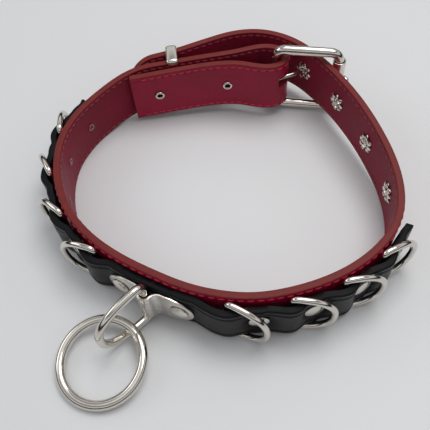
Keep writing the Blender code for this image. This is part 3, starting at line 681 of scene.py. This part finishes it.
def stitch(s, rise, heading, side):
    """One stitch, lying along heading in (length, rise), its ends sunk in their holes."""
    slant = math.radians(4.0)
    c, n = math.cos(slant), math.sin(slant)
    heading = (heading[0] * c - heading[1] * n, heading[0] * n + heading[1] * c)
    outward = ROUTE.outward(s) * side
    along = ROUTE.tangent(s) * heading[0] + UP * heading[1]
    across = np.cross(outward, along)
    center = ROUTE.middle(s) + UP * rise + outward * (STRAP_THICK / 2 - STITCH_SINK)
    rings = []
    for u in (-1.0, -0.92, -0.7, -0.35, 0.0, 0.35, 0.7, 0.92, 1.0):
        wide = STITCH_HALF_WIDTH * math.sqrt(max(0.12, 1 - abs(u) ** 3))
        high = 0.16 * MM - 0.34 * MM * abs(u) ** 4
        place = center + along * (u * STITCH_LENGTH / 2) + outward * high
        angles = np.radians(np.arange(0, 360, 45))
        flat = 0.75 * wide
        rings.append([place + across * wide * math.cos(a) + outward * flat * math.sin(a) for a in angles])
    return swept(rings)


def make_stitching(name, side, look):
    path = stitch_path()
    steps = np.linalg.norm(np.diff(path, axis=0), axis=1)
    along = np.concatenate([[0.0], np.cumsum(steps)])
    parts = []
    for d in np.arange(STITCH_PITCH, along[-1] - STITCH_PITCH, STITCH_PITCH):
        here, ahead = (np.array([np.interp(x, along, path[:, k]) for k in (0, 1)]) for x in (d, d + 0.2 * MM))
        way = (ahead - here) / np.linalg.norm(ahead - here)
        parts.append(stitch(here[0], here[1], way, side))
    slot = "red_leather" if side > 0 else "lining_leather"
    piece(name, parts, (look,), "collar", slot)


# ---------------------------------------------------------------- black strap


def hump(s):
    """How far the black strap stands off the red one at this length from the front."""
    flat = [BRACKET_SHIFT - BRACKET_FLAT, BRACKET_SHIFT + BRACKET_FLAT]
    pins = sorted([-r for r in LEFT_RIVETS] + flat + RIGHT_RIVETS)
    if s > pins[-1]:
        return END_LIFT * smoothstep((s - pins[-1] - PINCH) / (RIGHT_TAIL - PINCH))
    if s < pins[0]:
        return END_LIFT * smoothstep((pins[0] - s - PINCH) / (LEFT_TAIL - PINCH))
    for bar in RIGHT_BARS + [-b for b in LEFT_BARS]:
        low, high = max(p for p in pins if p < bar), min(p for p in pins if p > bar)
        if low <= s <= high:
            pin = low if s < bar else high
            share = min(max((abs(s - pin) - PINCH) / (abs(bar - pin) - PINCH), 0.0), 1.0)
            return HUMP * math.sin(share * math.pi / 2) ** 1.25
    return 0.0


def edge_lift(s, rise):
    """The stiff strap's edges stay off the red strap where a rivet pulls its middle in."""
    share = smoothstep(abs(rise) / (OVERLAY_WIDTH / 2)) * VALLEY_LIFT
    near = min(abs(s - r) for r in RIGHT_RIVETS + [-b for b in LEFT_RIVETS])
    return share * (1 - smoothstep(near / VALLEY_REACH))


def overlay_face():
    return STRAP_THICK / 2 + GAP + OVERLAY_THICK


def overlay_ends():
    return -LEFT_RIVETS[-1] - LEFT_TAIL, RIGHT_RIVETS[-1] + RIGHT_TAIL


def overlay_half(s):
    """Half of the black strap's width, with clipped corners at its ends."""
    start, end = overlay_ends()
    left = min(s - start, end - s)
    if left >= END_CLIP:
        return OVERLAY_WIDTH / 2
    return OVERLAY_WIDTH / 2 - END_CLIP + math.sqrt(max(0.0, END_CLIP**2 - (END_CLIP - left) ** 2))


def dimple(s, rise):
    """The black strap sinks round its rivets."""
    depth = 0.0
    for rivet in [-r for r in LEFT_RIVETS] + RIGHT_RIVETS:
        far = math.hypot(s - rivet, rise)
        depth += DIMPLE_DEPTH * math.exp(-((far / DIMPLE_R) ** 4))
    return depth


OVERLAY_INSETS = [
    0.9, 1.4, 1.9, 2.1, 2.2, 2.3, 2.4, 2.5, 2.7, 2.9, 3.0, 3.1, 3.2, 3.3, 3.6, 4.5, 5.8, 7.2, 8.4,
]


def make_overlay():
    start, end = overlay_ends()
    full = OVERLAY_WIDTH / 2
    low, high = STRAP_THICK / 2 + 0.04 * MM, overlay_face()
    rounding = 0.8 * MM
    clipped = [start + t * MM for t in (0.0, 0.1, 0.3, 0.6, 1.0, 1.5)]
    clipped_end = [end - t * MM for t in (1.5, 1.0, 0.6, 0.3, 0.1, 0.0)]
    stations = clipped + list(np.linspace(start + 2.0 * MM, end - 2.0 * MM, 290)) + clipped_end
    insets = [i * MM for i in OVERLAY_INSETS]
    face = [(inset, -1) for inset in insets] + [(full, 0)] + [(inset, 1) for inset in reversed(insets)]
    corner = arc((0.0, 0.0), rounding, 0, 90, 6)
    rings = []
    for s in stations:
        half = overlay_half(s)
        scale = half / full
        lift = hump(s)
        middle, outward = ROUTE.middle(ROUTE.front + s), ROUTE.outward(ROUTE.front + s)
        rows = [(high - rounding + x, -half + rounding - y) for x, y in reversed(corner)]
        for inset, sign in face:
            rise = sign * (half - inset * scale)
            relief = sum(groove(inset, at, 0.17 * MM, 0.22 * MM) for at in CREASE_INSETS)
            rows.append((high - relief - dimple(s, rise), rise))
        rows += [(high - rounding + x, half - rounding + y) for x, y in corner]
        rows += [(low + 0.3 * MM, half), (low, half - 0.3 * MM), (low, 0.0), (low, -half + 0.3 * MM)]
        rows += [(low + 0.3 * MM, -half)]
        rings.append([
            middle + outward * (offset + lift + edge_lift(s, rise)) + UP * rise for offset, rise in rows
        ])
    count = len(rings[0])
    labels = [1 if k < 3 or k >= count - 9 else 0 for k in range(count)]
    points, faces, slots = swept(rings, labels=labels, cap_label=1)
    parts = [(points, faces, slots)]
    piece("black_strap", parts, (BLACK, BLACK_EDGE), "collar", "black_leather", "overlay_strap")


# ---------------------------------------------------------------- rings


def d_outline(half_height, depth, corner, count=64):
    """A D in (out, up): the straight bar at 0, the bow outwards."""
    points = [(0.0, z) for z in np.linspace(-half_height + corner, half_height - corner, 8)]
    points += arc((corner, half_height - corner), corner, 172, 98, 8)
    power = 2 / BOW_POWER
    for angle in np.radians(np.linspace(90, -90, count)):
        x = max(math.cos(angle), 0.0) ** power
        z = math.copysign(abs(math.sin(angle)) ** power, math.sin(angle))
        points.append((corner + (depth - corner) * x, half_height * z))
    points += arc((corner, -half_height + corner), corner, 262, 188, 8)
    return points


def flat_ring(outline, origin, way, radius, sides=20):
    """A closed wire whose outline lies in the upright plane through origin along way."""
    way = np.array([way[0], way[1], 0.0])
    path = [np.array(origin) + way * x + UP * z for x, z in outline]
    return wire(path, radius, np.cross(way, UP), cyclic=True, sides=sides)


def joint(name):
    return next(j for j in frame["joints"] if j["name"] == name)


def make_d_rings():
    outline = d_outline(D_HALF_HEIGHT, D_DEPTH, D_CORNER)
    for name, degrees in D_REST_DEG.items():
        origin = np.array(joint(f"ring_{name}_swing")["pos_m"])
        s = ROUTE.nearest(origin[:2], ROUTE.front - 0.13, ROUTE.front + 0.13)
        side = 1.0 if name.startswith("r") else -1.0
        turn = math.radians(degrees)
        way = side * math.cos(turn) * ROUTE.tangent(s) + math.sin(turn) * ROUTE.outward(s)
        part = flat_ring(outline, origin, way, D_WIRE)
        piece(f"ring_{name}", [part], (NICKEL,), f"ring_{name}", "nickel", f"d_ring_{name}")


def make_leash_rings():
    turn = math.radians(-90 - LEASH_TURN_DEG)
    outline = d_outline(LEASH_HALF_HEIGHT, LEASH_DEPTH, LEASH_CORNER, 96)
    bar = np.array(joint("leash_ring_swing")["pos_m"])
    part = flat_ring(outline, bar, (math.cos(turn), math.sin(turn)), LEASH_WIRE, 24)
    piece("leash_ring", [part], (NICKEL,), "leash_ring", "nickel", "leash_d_ring")
    crossing = np.array(joint("o_ring_swing")["pos_m"])
    slope = math.asin((crossing[2] - O_WIRE - 0.05 * MM) / (2 * O_RADIUS))
    turn = math.radians(-90 - O_TURN_DEG)
    way = np.array([math.cos(turn) * math.cos(slope), math.sin(turn) * math.cos(slope), -math.sin(slope)])
    side = np.array([-math.sin(turn), math.cos(turn), 0.0])
    center = crossing + way * O_RADIUS
    angles = np.linspace(0, 2 * math.pi, 128, endpoint=False)
    path = [center + O_RADIUS * (math.cos(a) * way + math.sin(a) * side) for a in angles]
    part = wire(path, O_WIRE, np.cross(way, side), cyclic=True, sides=28)
    piece("leash_o_ring", [part], (NICKEL,), "o_ring", "nickel", "o_ring")


# ---------------------------------------------------------------- leash bracket


def bracket_half(s):
    """Half of the bracket's height: full at the tube and the flares, then a rounded ear."""
    share = max(0.0, (abs(s) - EAR_START) / (BRACKET_REACH - EAR_START))
    return BRACKET_HALF * max(1 - share**2.0, 0.004) ** 0.5


def bracket_path():
    """The strip's middle line in (length from its middle, offset): ear, flare, tube, flare, ear."""
    base = overlay_face() + BRACKET_SEAT + BRACKET_SHEET / 2
    middle = overlay_face() + TUBE_STANDOFF + LEASH_WIRE
    radius = LEASH_WIRE + 0.25 * MM + BRACKET_SHEET / 2
    neck = math.radians(90 - FLARE_DEG)
    flare_s = radius * math.cos(neck) + FLARE_R * math.cos(neck)
    flare_o = middle + (radius + FLARE_R) * math.sin(neck)
    drop = (flare_o - FLARE_R - base) / 2
    ends = [1 - math.cos(math.radians(a)) for a in np.linspace(0, 90, 18)]
    ear = [(BRACKET_REACH - (BRACKET_REACH - EAR_START) * e, base) for e in ends]
    ear += [(s, base) for s in np.linspace(EAR_START, flare_s, 5)[1:-1]]
    ear = [(s, o + drop * (1 + math.tanh((8.5 * MM - s) / (1.2 * MM)))) for s, o in ear]
    flare = arc((flare_s, flare_o), FLARE_R, 270, 180 + math.degrees(neck), 12)
    half = ear + flare
    tube = arc((0.0, middle), radius, 180 - math.degrees(neck), math.degrees(neck), 21)[1:-1]
    return [(-s, o) for s, o in half] + tube + half[::-1]


def make_bracket():
    path = bracket_path()
    spots = [ROUTE.spot(ROUTE.front + BRACKET_SHIFT + s, o) for s, o in path]
    rings = []
    rounding = 0.28 * MM
    for i, (s, _) in enumerate(path):
        before, after = spots[max(i - 1, 0)], spots[min(i + 1, len(path) - 1)]
        along = (after - before)[:2]
        along /= np.linalg.norm(along)
        normal = np.array([along[1], -along[0], 0.0])
        half, thick = bracket_half(s), BRACKET_SHEET / 2
        soft = min(rounding, half * 0.9)
        corner = arc((0.0, 0.0), 1.0, 0, 90, 5)
        quarter = [(thick - rounding + rounding * x, half - soft + soft * y) for x, y in corner]
        rows = [(a, -b) for a, b in reversed(quarter)] + quarter
        rows += [(-a, b) for a, b in reversed(quarter)] + [(-a, -b) for a, b in quarter]
        rings.append([spots[i] + normal * a + UP * b for a, b in rows])
    piece("ring_bracket", [swept(rings)], (SATIN,), "collar", "nickel", "leash_bracket", crease_deg=35)


# ---------------------------------------------------------------- rivets and eyelets


def capped_rivet(name, s, seat, radius, dome):
    """A capped rivet: a low dome with a rolled rim, and a small socket on the lining."""
    top = seat + 0.05 * MM
    rim = 0.32 * MM
    profile = [(0.0, top + dome)]
    for share in (0.25, 0.5, 0.7, 0.85, 0.94):
        profile.append(((radius - rim) * share, top + 2 * rim + (dome - 2 * rim) * (1 - share**2.6)))
    profile += [(radius - rim + x, top + rim + y) for x, y in arc((0, 0), rim, 90, -90, 9)]
    back = -STRAP_THICK / 2 - 0.02 * MM
    profile += [(1.4 * MM, top), (1.4 * MM, back + 0.5 * MM), (0.0, back + 0.5 * MM)]
    where = ROUTE.front + s
    part = turned(profile, ROUTE.middle(where), ROUTE.outward(where))
    piece(f"cap_{name}", [part], (SATIN,), "collar", "nickel", name, crease_deg=60)
    socket = [(0.0, back + 0.45 * MM), (1.55 * MM, back + 0.45 * MM), (1.55 * MM, back)]
    socket += [(1.62 * MM + x, back - 0.18 * MM + y) for x, y in arc((0, 0), 0.2 * MM, 80, -90, 7)]
    socket += [(1.2 * MM, back - 0.36 * MM), (0.95 * MM, back - 0.25 * MM), (0.85 * MM, back + 0.3 * MM)]
    socket += [(0.0, back + 0.35 * MM)]
    part = turned(socket, ROUTE.middle(where), ROUTE.outward(where))
    # The socket takes the darker nickel with painted shade and a painted red reflection.
    piece(f"socket_{name}", [part], (SHADED_NICKEL,), "collar", "nickel", crease_deg=60)


def make_rivets():
    for side, rivets in (("r", RIGHT_RIVETS), ("l", LEFT_RIVETS)):
        sign = 1 if side == "r" else -1
        for i, s in enumerate(rivets):
            capped_rivet(f"overlay_rivet_{side}{i + 1}", sign * s, overlay_face(), HEAD_R, HEAD_RISE)
    seat = overlay_face() + BRACKET_SEAT + BRACKET_SHEET
    capped_rivet("bracket_rivet_right", BRACKET_SHIFT + BRACKET_RIVET, seat, BRACKET_HEAD_R, HEAD_RISE)
    capped_rivet("bracket_rivet_left", BRACKET_SHIFT - BRACKET_RIVET, seat, BRACKET_HEAD_R, HEAD_RISE)


def make_fold_rivets():
    """Tubular rivets: a rolled lip on the folded end, an open bore and a flat flange behind."""
    for i, (front, back) in enumerate(fold_ends()):
        way = front - back
        length = float(np.linalg.norm(way))
        lip = 0.55 * MM
        profile = [(1.75 * MM + x, length + 0.28 * MM + y) for x, y in arc((0, 0), lip, 200, -60, 16)]
        profile += [(1.7 * MM, length), (1.7 * MM, -0.05 * MM), (2.6 * MM, -0.1 * MM), (2.6 * MM, -0.45 * MM)]
        profile += [(1.3 * MM, -0.5 * MM)]
        part = turned(profile, back, way)
        piece(f"tubular_rivet_{i + 1}", [part], (NICKEL,), "collar", "nickel", f"fold_rivet_{i + 1}")


PETAL_SECTION = [
    (-1, 0), (-0.6, 0.5), (0, 0.75), (0.6, 0.5), (1, 0), (0.6, -0.5), (0, -0.3), (-0.6, -0.5),
]


def petal(s, angle, reach, curl, rng):
    """One leaf of an eyelet's split barrel, bent out over the lining and rolled at its tip."""
    outward, along = -ROUTE.outward(s), ROUTE.tangent(s)
    base = ROUTE.middle(s) + outward * STRAP_THICK / 2
    skew = rng.uniform(-0.12, 0.12)
    rings = []
    for t in np.linspace(0, 1, 9):
        radius = 2.1 * MM + (reach - 2.1 * MM) * t
        height = 0.15 * MM + curl * math.sin(math.pi * min(t * 1.05, 1.0)) ** 0.8 * (1 - 0.25 * t)
        half = 1.02 * MM * math.sqrt(max(0.06, 1 - (max(0.0, t - 0.5) / 0.5) ** 2))
        turn = angle + skew * t
        way = along * math.cos(turn) + UP * math.sin(turn)
        across = np.cross(outward, way)
        ring = []
        for x, y in PETAL_SECTION:
            ring.append(base + way * radius + across * half * x + outward * (height + 0.3 * MM * y))
        rings.append(ring)
    return swept(rings)


def make_eyelets():
    rng = np.random.default_rng(SEED)
    face = STRAP_THICK / 2
    for i, s in enumerate(eyelet_lengths()):
        flange = arc((0, 0), 1.0, 100, -90, 12)
        profile = [(2.2 * MM, face + 0.2 * MM)]
        profile += [(3.1 * MM + 0.95 * MM * x, face + 0.05 * MM + 0.6 * MM * max(y, 0.0)) for x, y in flange]
        profile += [(2.45 * MM, face), (2.45 * MM, -face - 0.1 * MM), (2.35 * MM, -face - 0.4 * MM)]
        profile += [(2.2 * MM, -face - 0.3 * MM)]
        parts = [turned(profile, ROUTE.middle(s), ROUTE.outward(s))]
        step = 2 * math.pi / PETALS
        start = rng.uniform(0, step)
        pressed = 0.35 if i == 0 else 1.0  # the tongue lies over the first one
        for k in range(PETALS):
            angle = start + step * k + rng.uniform(-0.10, 0.10)
            curl = rng.uniform(0.7, 1.15) * pressed * MM
            parts.append(petal(s, angle, rng.uniform(4.3, 4.95) * MM, curl, rng))
        piece(f"star_eyelet_{i + 1}", parts, (NICKEL,), "collar", "nickel", f"eyelet_{i + 1}", crease_deg=60)


# ---------------------------------------------------------------- buckle and keeper


def buckle_place():
    heel, far = plan(HEEL), plan(FAR_BAR)
    way = np.array([*(far - heel), 0.0])
    return np.array([*heel, BUCKLE_HALF_HEIGHT + BUCKLE_WIRE + BUCKLE_LIFT]), way


def make_buckle():
    heel, way = buckle_place()
    length = float(np.linalg.norm(way))
    way = way / length
    half = BUCKLE_HALF_HEIGHT
    corners = [
        ((HEEL_CORNER_R, half - HEEL_CORNER_R), HEEL_CORNER_R, 180),
        ((length - FAR_CORNER_R, half - FAR_CORNER_R), FAR_CORNER_R, 90),
        ((length - FAR_CORNER_R, FAR_CORNER_R - half), FAR_CORNER_R, 0),
        ((HEEL_CORNER_R, HEEL_CORNER_R - half), HEEL_CORNER_R, -90),
    ]
    outline = []
    for center, radius, start in corners:
        outline += arc(center, radius, start, start - 90, 14)
    part = flat_ring(outline, heel, way, BUCKLE_WIRE, 28)
    piece("frame_of_buckle", [part], (NICKEL,), "buckle", "nickel", "buckle_frame")
    lip = 0.22 * MM
    profile = [(ROLLER_R - lip + x, ROLLER_HALF - lip + y) for x, y in arc((0, 0), lip, 90, 0, 5)]
    profile += [(r, -z) for r, z in reversed(profile)]
    profile += [(ROLLER_BORE_R, -ROLLER_HALF), (ROLLER_BORE_R, ROLLER_HALF)]
    part = turned(profile, heel + way * length, UP, 56)
    piece("roller_of_buckle", [part], (NICKEL,), "roller", "nickel", "buckle_roller")


def make_tongue():
    heel = plan(HEEL)
    radius = BUCKLE_WIRE + GAP + TONGUE_WRAP_R
    first = eyelet_lengths()[0]
    eye = ROUTE.at(first)
    towards = eye - heel
    leave = math.degrees(math.atan2(towards[1], towards[0]) - math.acos(radius / np.linalg.norm(towards)))
    wrap = arc(heel, radius, leave - TONGUE_WRAP_DEG, leave, 40)
    outer = ROUTE.outward(first)[:2]
    knots = [np.array(wrap[-1]), eye - outer * 2.5 * MM, eye + outer * 0.5 * MM]
    knots += [plan(p) for p in TONGUE_OVER]
    smooth = cubic_curve(np.array(knots), per_span=6)
    z = middle_z(heel[1])
    path = [(*p, z + TONGUE_RISE) for p in wrap[:-1]]
    path += [(*p, z + TONGUE_RISE * (1 - smoothstep(i / 10))) for i, p in enumerate(smooth)]
    thin = TONGUE_WRAP_R / TONGUE_R
    shares = [thin] * (len(wrap) - 1) + [thin + (1 - thin) * smoothstep(i / 8) for i in range(len(smooth))]
    part = wire(path, TONGUE_R, UP, sides=24, shares=shares)
    piece("tongue_of_buckle", [part], (NICKEL,), "tongue", "nickel", "buckle_tongue")


def make_keeper():
    """A band bent round the strap and its tip."""
    inner_s = ROUTE.nearest(plan(KEEPER_PLAN), fold_middle(), ROUTE.front)
    axis, outward = ROUTE.tangent(inner_s), ROUTE.outward(inner_s)
    tip_s = ROUTE.nearest(ROUTE.at(inner_s) + outward[:2] * 6 * MM, ROUTE.front, ROUTE.length)
    spread = float(np.dot(ROUTE.at(tip_s) - ROUTE.at(inner_s), outward[:2]))
    thick = KEEPER_SHEET / 2
    low = -STRAP_THICK / 2 - 0.3 * MM - thick
    high = spread + STRAP_THICK / 2 + KEEPER_SLACK + thick
    half = STRAP_WIDTH / 2 + KEEPER_SLACK + thick
    soft = 1.4 * MM
    outline = []
    for x, z, start in ((high, half, 0), (low, half, 90), (low, -half, 180), (high, -half, 270)):
        sx = x - soft if x > 0 else x + soft
        sz = z - soft if z > 0 else z + soft
        outline += arc((sx, sz), soft, start, start + 90, 10)
    z = (middle_z(ROUTE.at(inner_s)[1]) + middle_z(ROUTE.at(tip_s)[1])) / 2
    origin = np.array([*ROUTE.at(inner_s), z])
    corner = arc((0.0, 0.0), 1.0, 0, 88, 8)
    rings = []
    for i, (x, rise) in enumerate(outline):
        ahead, behind = outline[(i + 1) % len(outline)], outline[i - 1]
        out = np.array([ahead[1] - behind[1], behind[0] - ahead[0]])
        out /= np.linalg.norm(out)
        normal = outward * out[0] + UP * out[1]
        wide = KEEPER_WIDTH / 2
        crown = [(thick * (2.0 * a**0.7 - 1.0) * 0.9 + 0.1 * thick, wide * b) for a, b in corner]
        rows = [(a, -b) for a, b in reversed(crown)] + crown[1:]
        rows += [(-thick, wide * 0.9), (-thick, -wide * 0.9)]
        place = origin + outward * x + UP * rise
        rings.append([place + normal * a + axis * b for a, b in rows])
    piece("keeper_band", [swept(rings, closed=True)], (NICKEL,), "keeper", "nickel", "keeper_loop")


# ---------------------------------------------------------------- stage


def make_floor():
    mesh = bmesh.new()
    bmesh.ops.create_grid(mesh, x_segments=1, y_segments=1, size=3.0)
    data = bpy.data.meshes.new("floor")
    mesh.to_mesh(data)
    mesh.free()
    floor = bpy.data.objects.new("floor", data)
    bpy.context.scene.collection.objects.link(floor)
    look = Looks("pale_table", (0.70, 0.71, 0.725), 0.5)
    patch = look.noise(9.0, 3.0).outputs["Fac"]
    look.link(look.mix(patch, (0.69, 0.70, 0.715), (0.71, 0.72, 0.735)), "Base Color")
    data.materials.append(look.made)


def area_light(name, place, size, power, color):
    data = bpy.data.lights.new(name, "AREA")
    data.shape = "RECTANGLE"
    data.size, data.size_y = size
    data.energy = power
    data.color = color
    lamp = bpy.data.objects.new(name, data)
    bpy.context.scene.collection.objects.link(lamp)
    lamp.location = place
    lamp.rotation_euler = (Vector((0, 0, 0.01)) - Vector(place)).to_track_quat("-Z", "Y").to_euler()


def make_lights():
    area_light("soft_top", (0.10, 0.28, 0.80), (0.55, 0.45), 3.4, (1.0, 0.99, 0.97))
    area_light("soft_side", (-0.70, -0.15, 0.55), (0.40, 0.40), 0.7, (0.96, 0.98, 1.0))
    world = bpy.data.worlds.new("studio")
    bpy.context.scene.world = world
    world.use_nodes = True
    tree = world.node_tree
    back = tree.nodes["Background"]
    spot = tree.nodes.new("ShaderNodeTexCoord")
    split = tree.nodes.new("ShaderNodeSeparateXYZ")
    ramp = tree.nodes.new("ShaderNodeValToRGB")
    tree.links.new(spot.outputs["Generated"], split.inputs[0])
    tree.links.new(split.outputs["Z"], ramp.inputs["Fac"])
    tree.links.new(ramp.outputs["Color"], back.inputs["Color"])
    stops = (
        (0.0, 0.03), (0.28, 0.06), (0.42, 1.0), (0.60, 1.1),
        (0.74, 0.4), (0.85, 0.5), (0.94, 1.4), (1.0, 1.4),
    )
    while len(ramp.color_ramp.elements) < len(stops):
        ramp.color_ramp.elements.new(0.5)
    for element, (place, value) in zip(ramp.color_ramp.elements, stops):
        element.position = place
        element.color = (value, value, value * 1.01, 1.0)
    back.inputs["Strength"].default_value = 0.62


def make_camera():
    """Over the collar's right front, looking down at 57 degrees and rolled a little."""
    tilt, turn, roll = (math.radians(a) for a in (CAMERA_TILT_DEG, CAMERA_TURN_DEG, CAMERA_ROLL_DEG))
    right = Vector((math.cos(turn), math.sin(turn), 0.0))
    ahead = Vector((-math.sin(turn) * math.cos(tilt), math.cos(turn) * math.cos(tilt), -math.sin(tilt)))
    up = right.cross(ahead)
    rolled_right = math.cos(roll) * right - math.sin(roll) * up
    rolled_up = math.sin(roll) * right + math.cos(roll) * up
    data = bpy.data.cameras.new("camera")
    data.sensor_width = 36.0
    data.lens = CAMERA_LENS_MM
    camera = bpy.data.objects.new("camera", data)
    bpy.context.scene.collection.objects.link(camera)
    turned_axes = Matrix((rolled_right, rolled_up, -ahead)).transposed().to_4x4()
    camera.matrix_world = Matrix.Translation(CAMERA_PLACE) @ turned_axes
    bpy.context.scene.camera = camera


# ---------------------------------------------------------------- the whole


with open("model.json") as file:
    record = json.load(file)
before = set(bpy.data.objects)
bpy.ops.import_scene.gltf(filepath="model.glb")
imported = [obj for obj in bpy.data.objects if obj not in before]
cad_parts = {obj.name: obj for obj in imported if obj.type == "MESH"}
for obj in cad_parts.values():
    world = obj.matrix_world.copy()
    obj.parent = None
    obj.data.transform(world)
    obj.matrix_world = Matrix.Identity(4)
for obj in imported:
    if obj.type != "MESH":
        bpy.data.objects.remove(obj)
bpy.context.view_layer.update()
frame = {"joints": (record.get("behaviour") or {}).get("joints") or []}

make_camera()
make_floor()
make_lights()

outer = make_ply("red_strap_outer", 1, RED, "strap_outer_ply", strap_cutters())
lining = make_ply("red_strap_lining", -1, LINING, "strap_lining", strap_cutters())
make_stitching("outer_stitching", 1, THREAD)
make_stitching("lining_stitching", -1, DARK_THREAD)
make_overlay()
make_d_rings()
make_leash_rings()
make_bracket()
make_rivets()
make_fold_rivets()
make_eyelets()
make_buckle()
make_tongue()
make_keeper()

bpy.context.scene.view_settings.view_transform = "Standard"
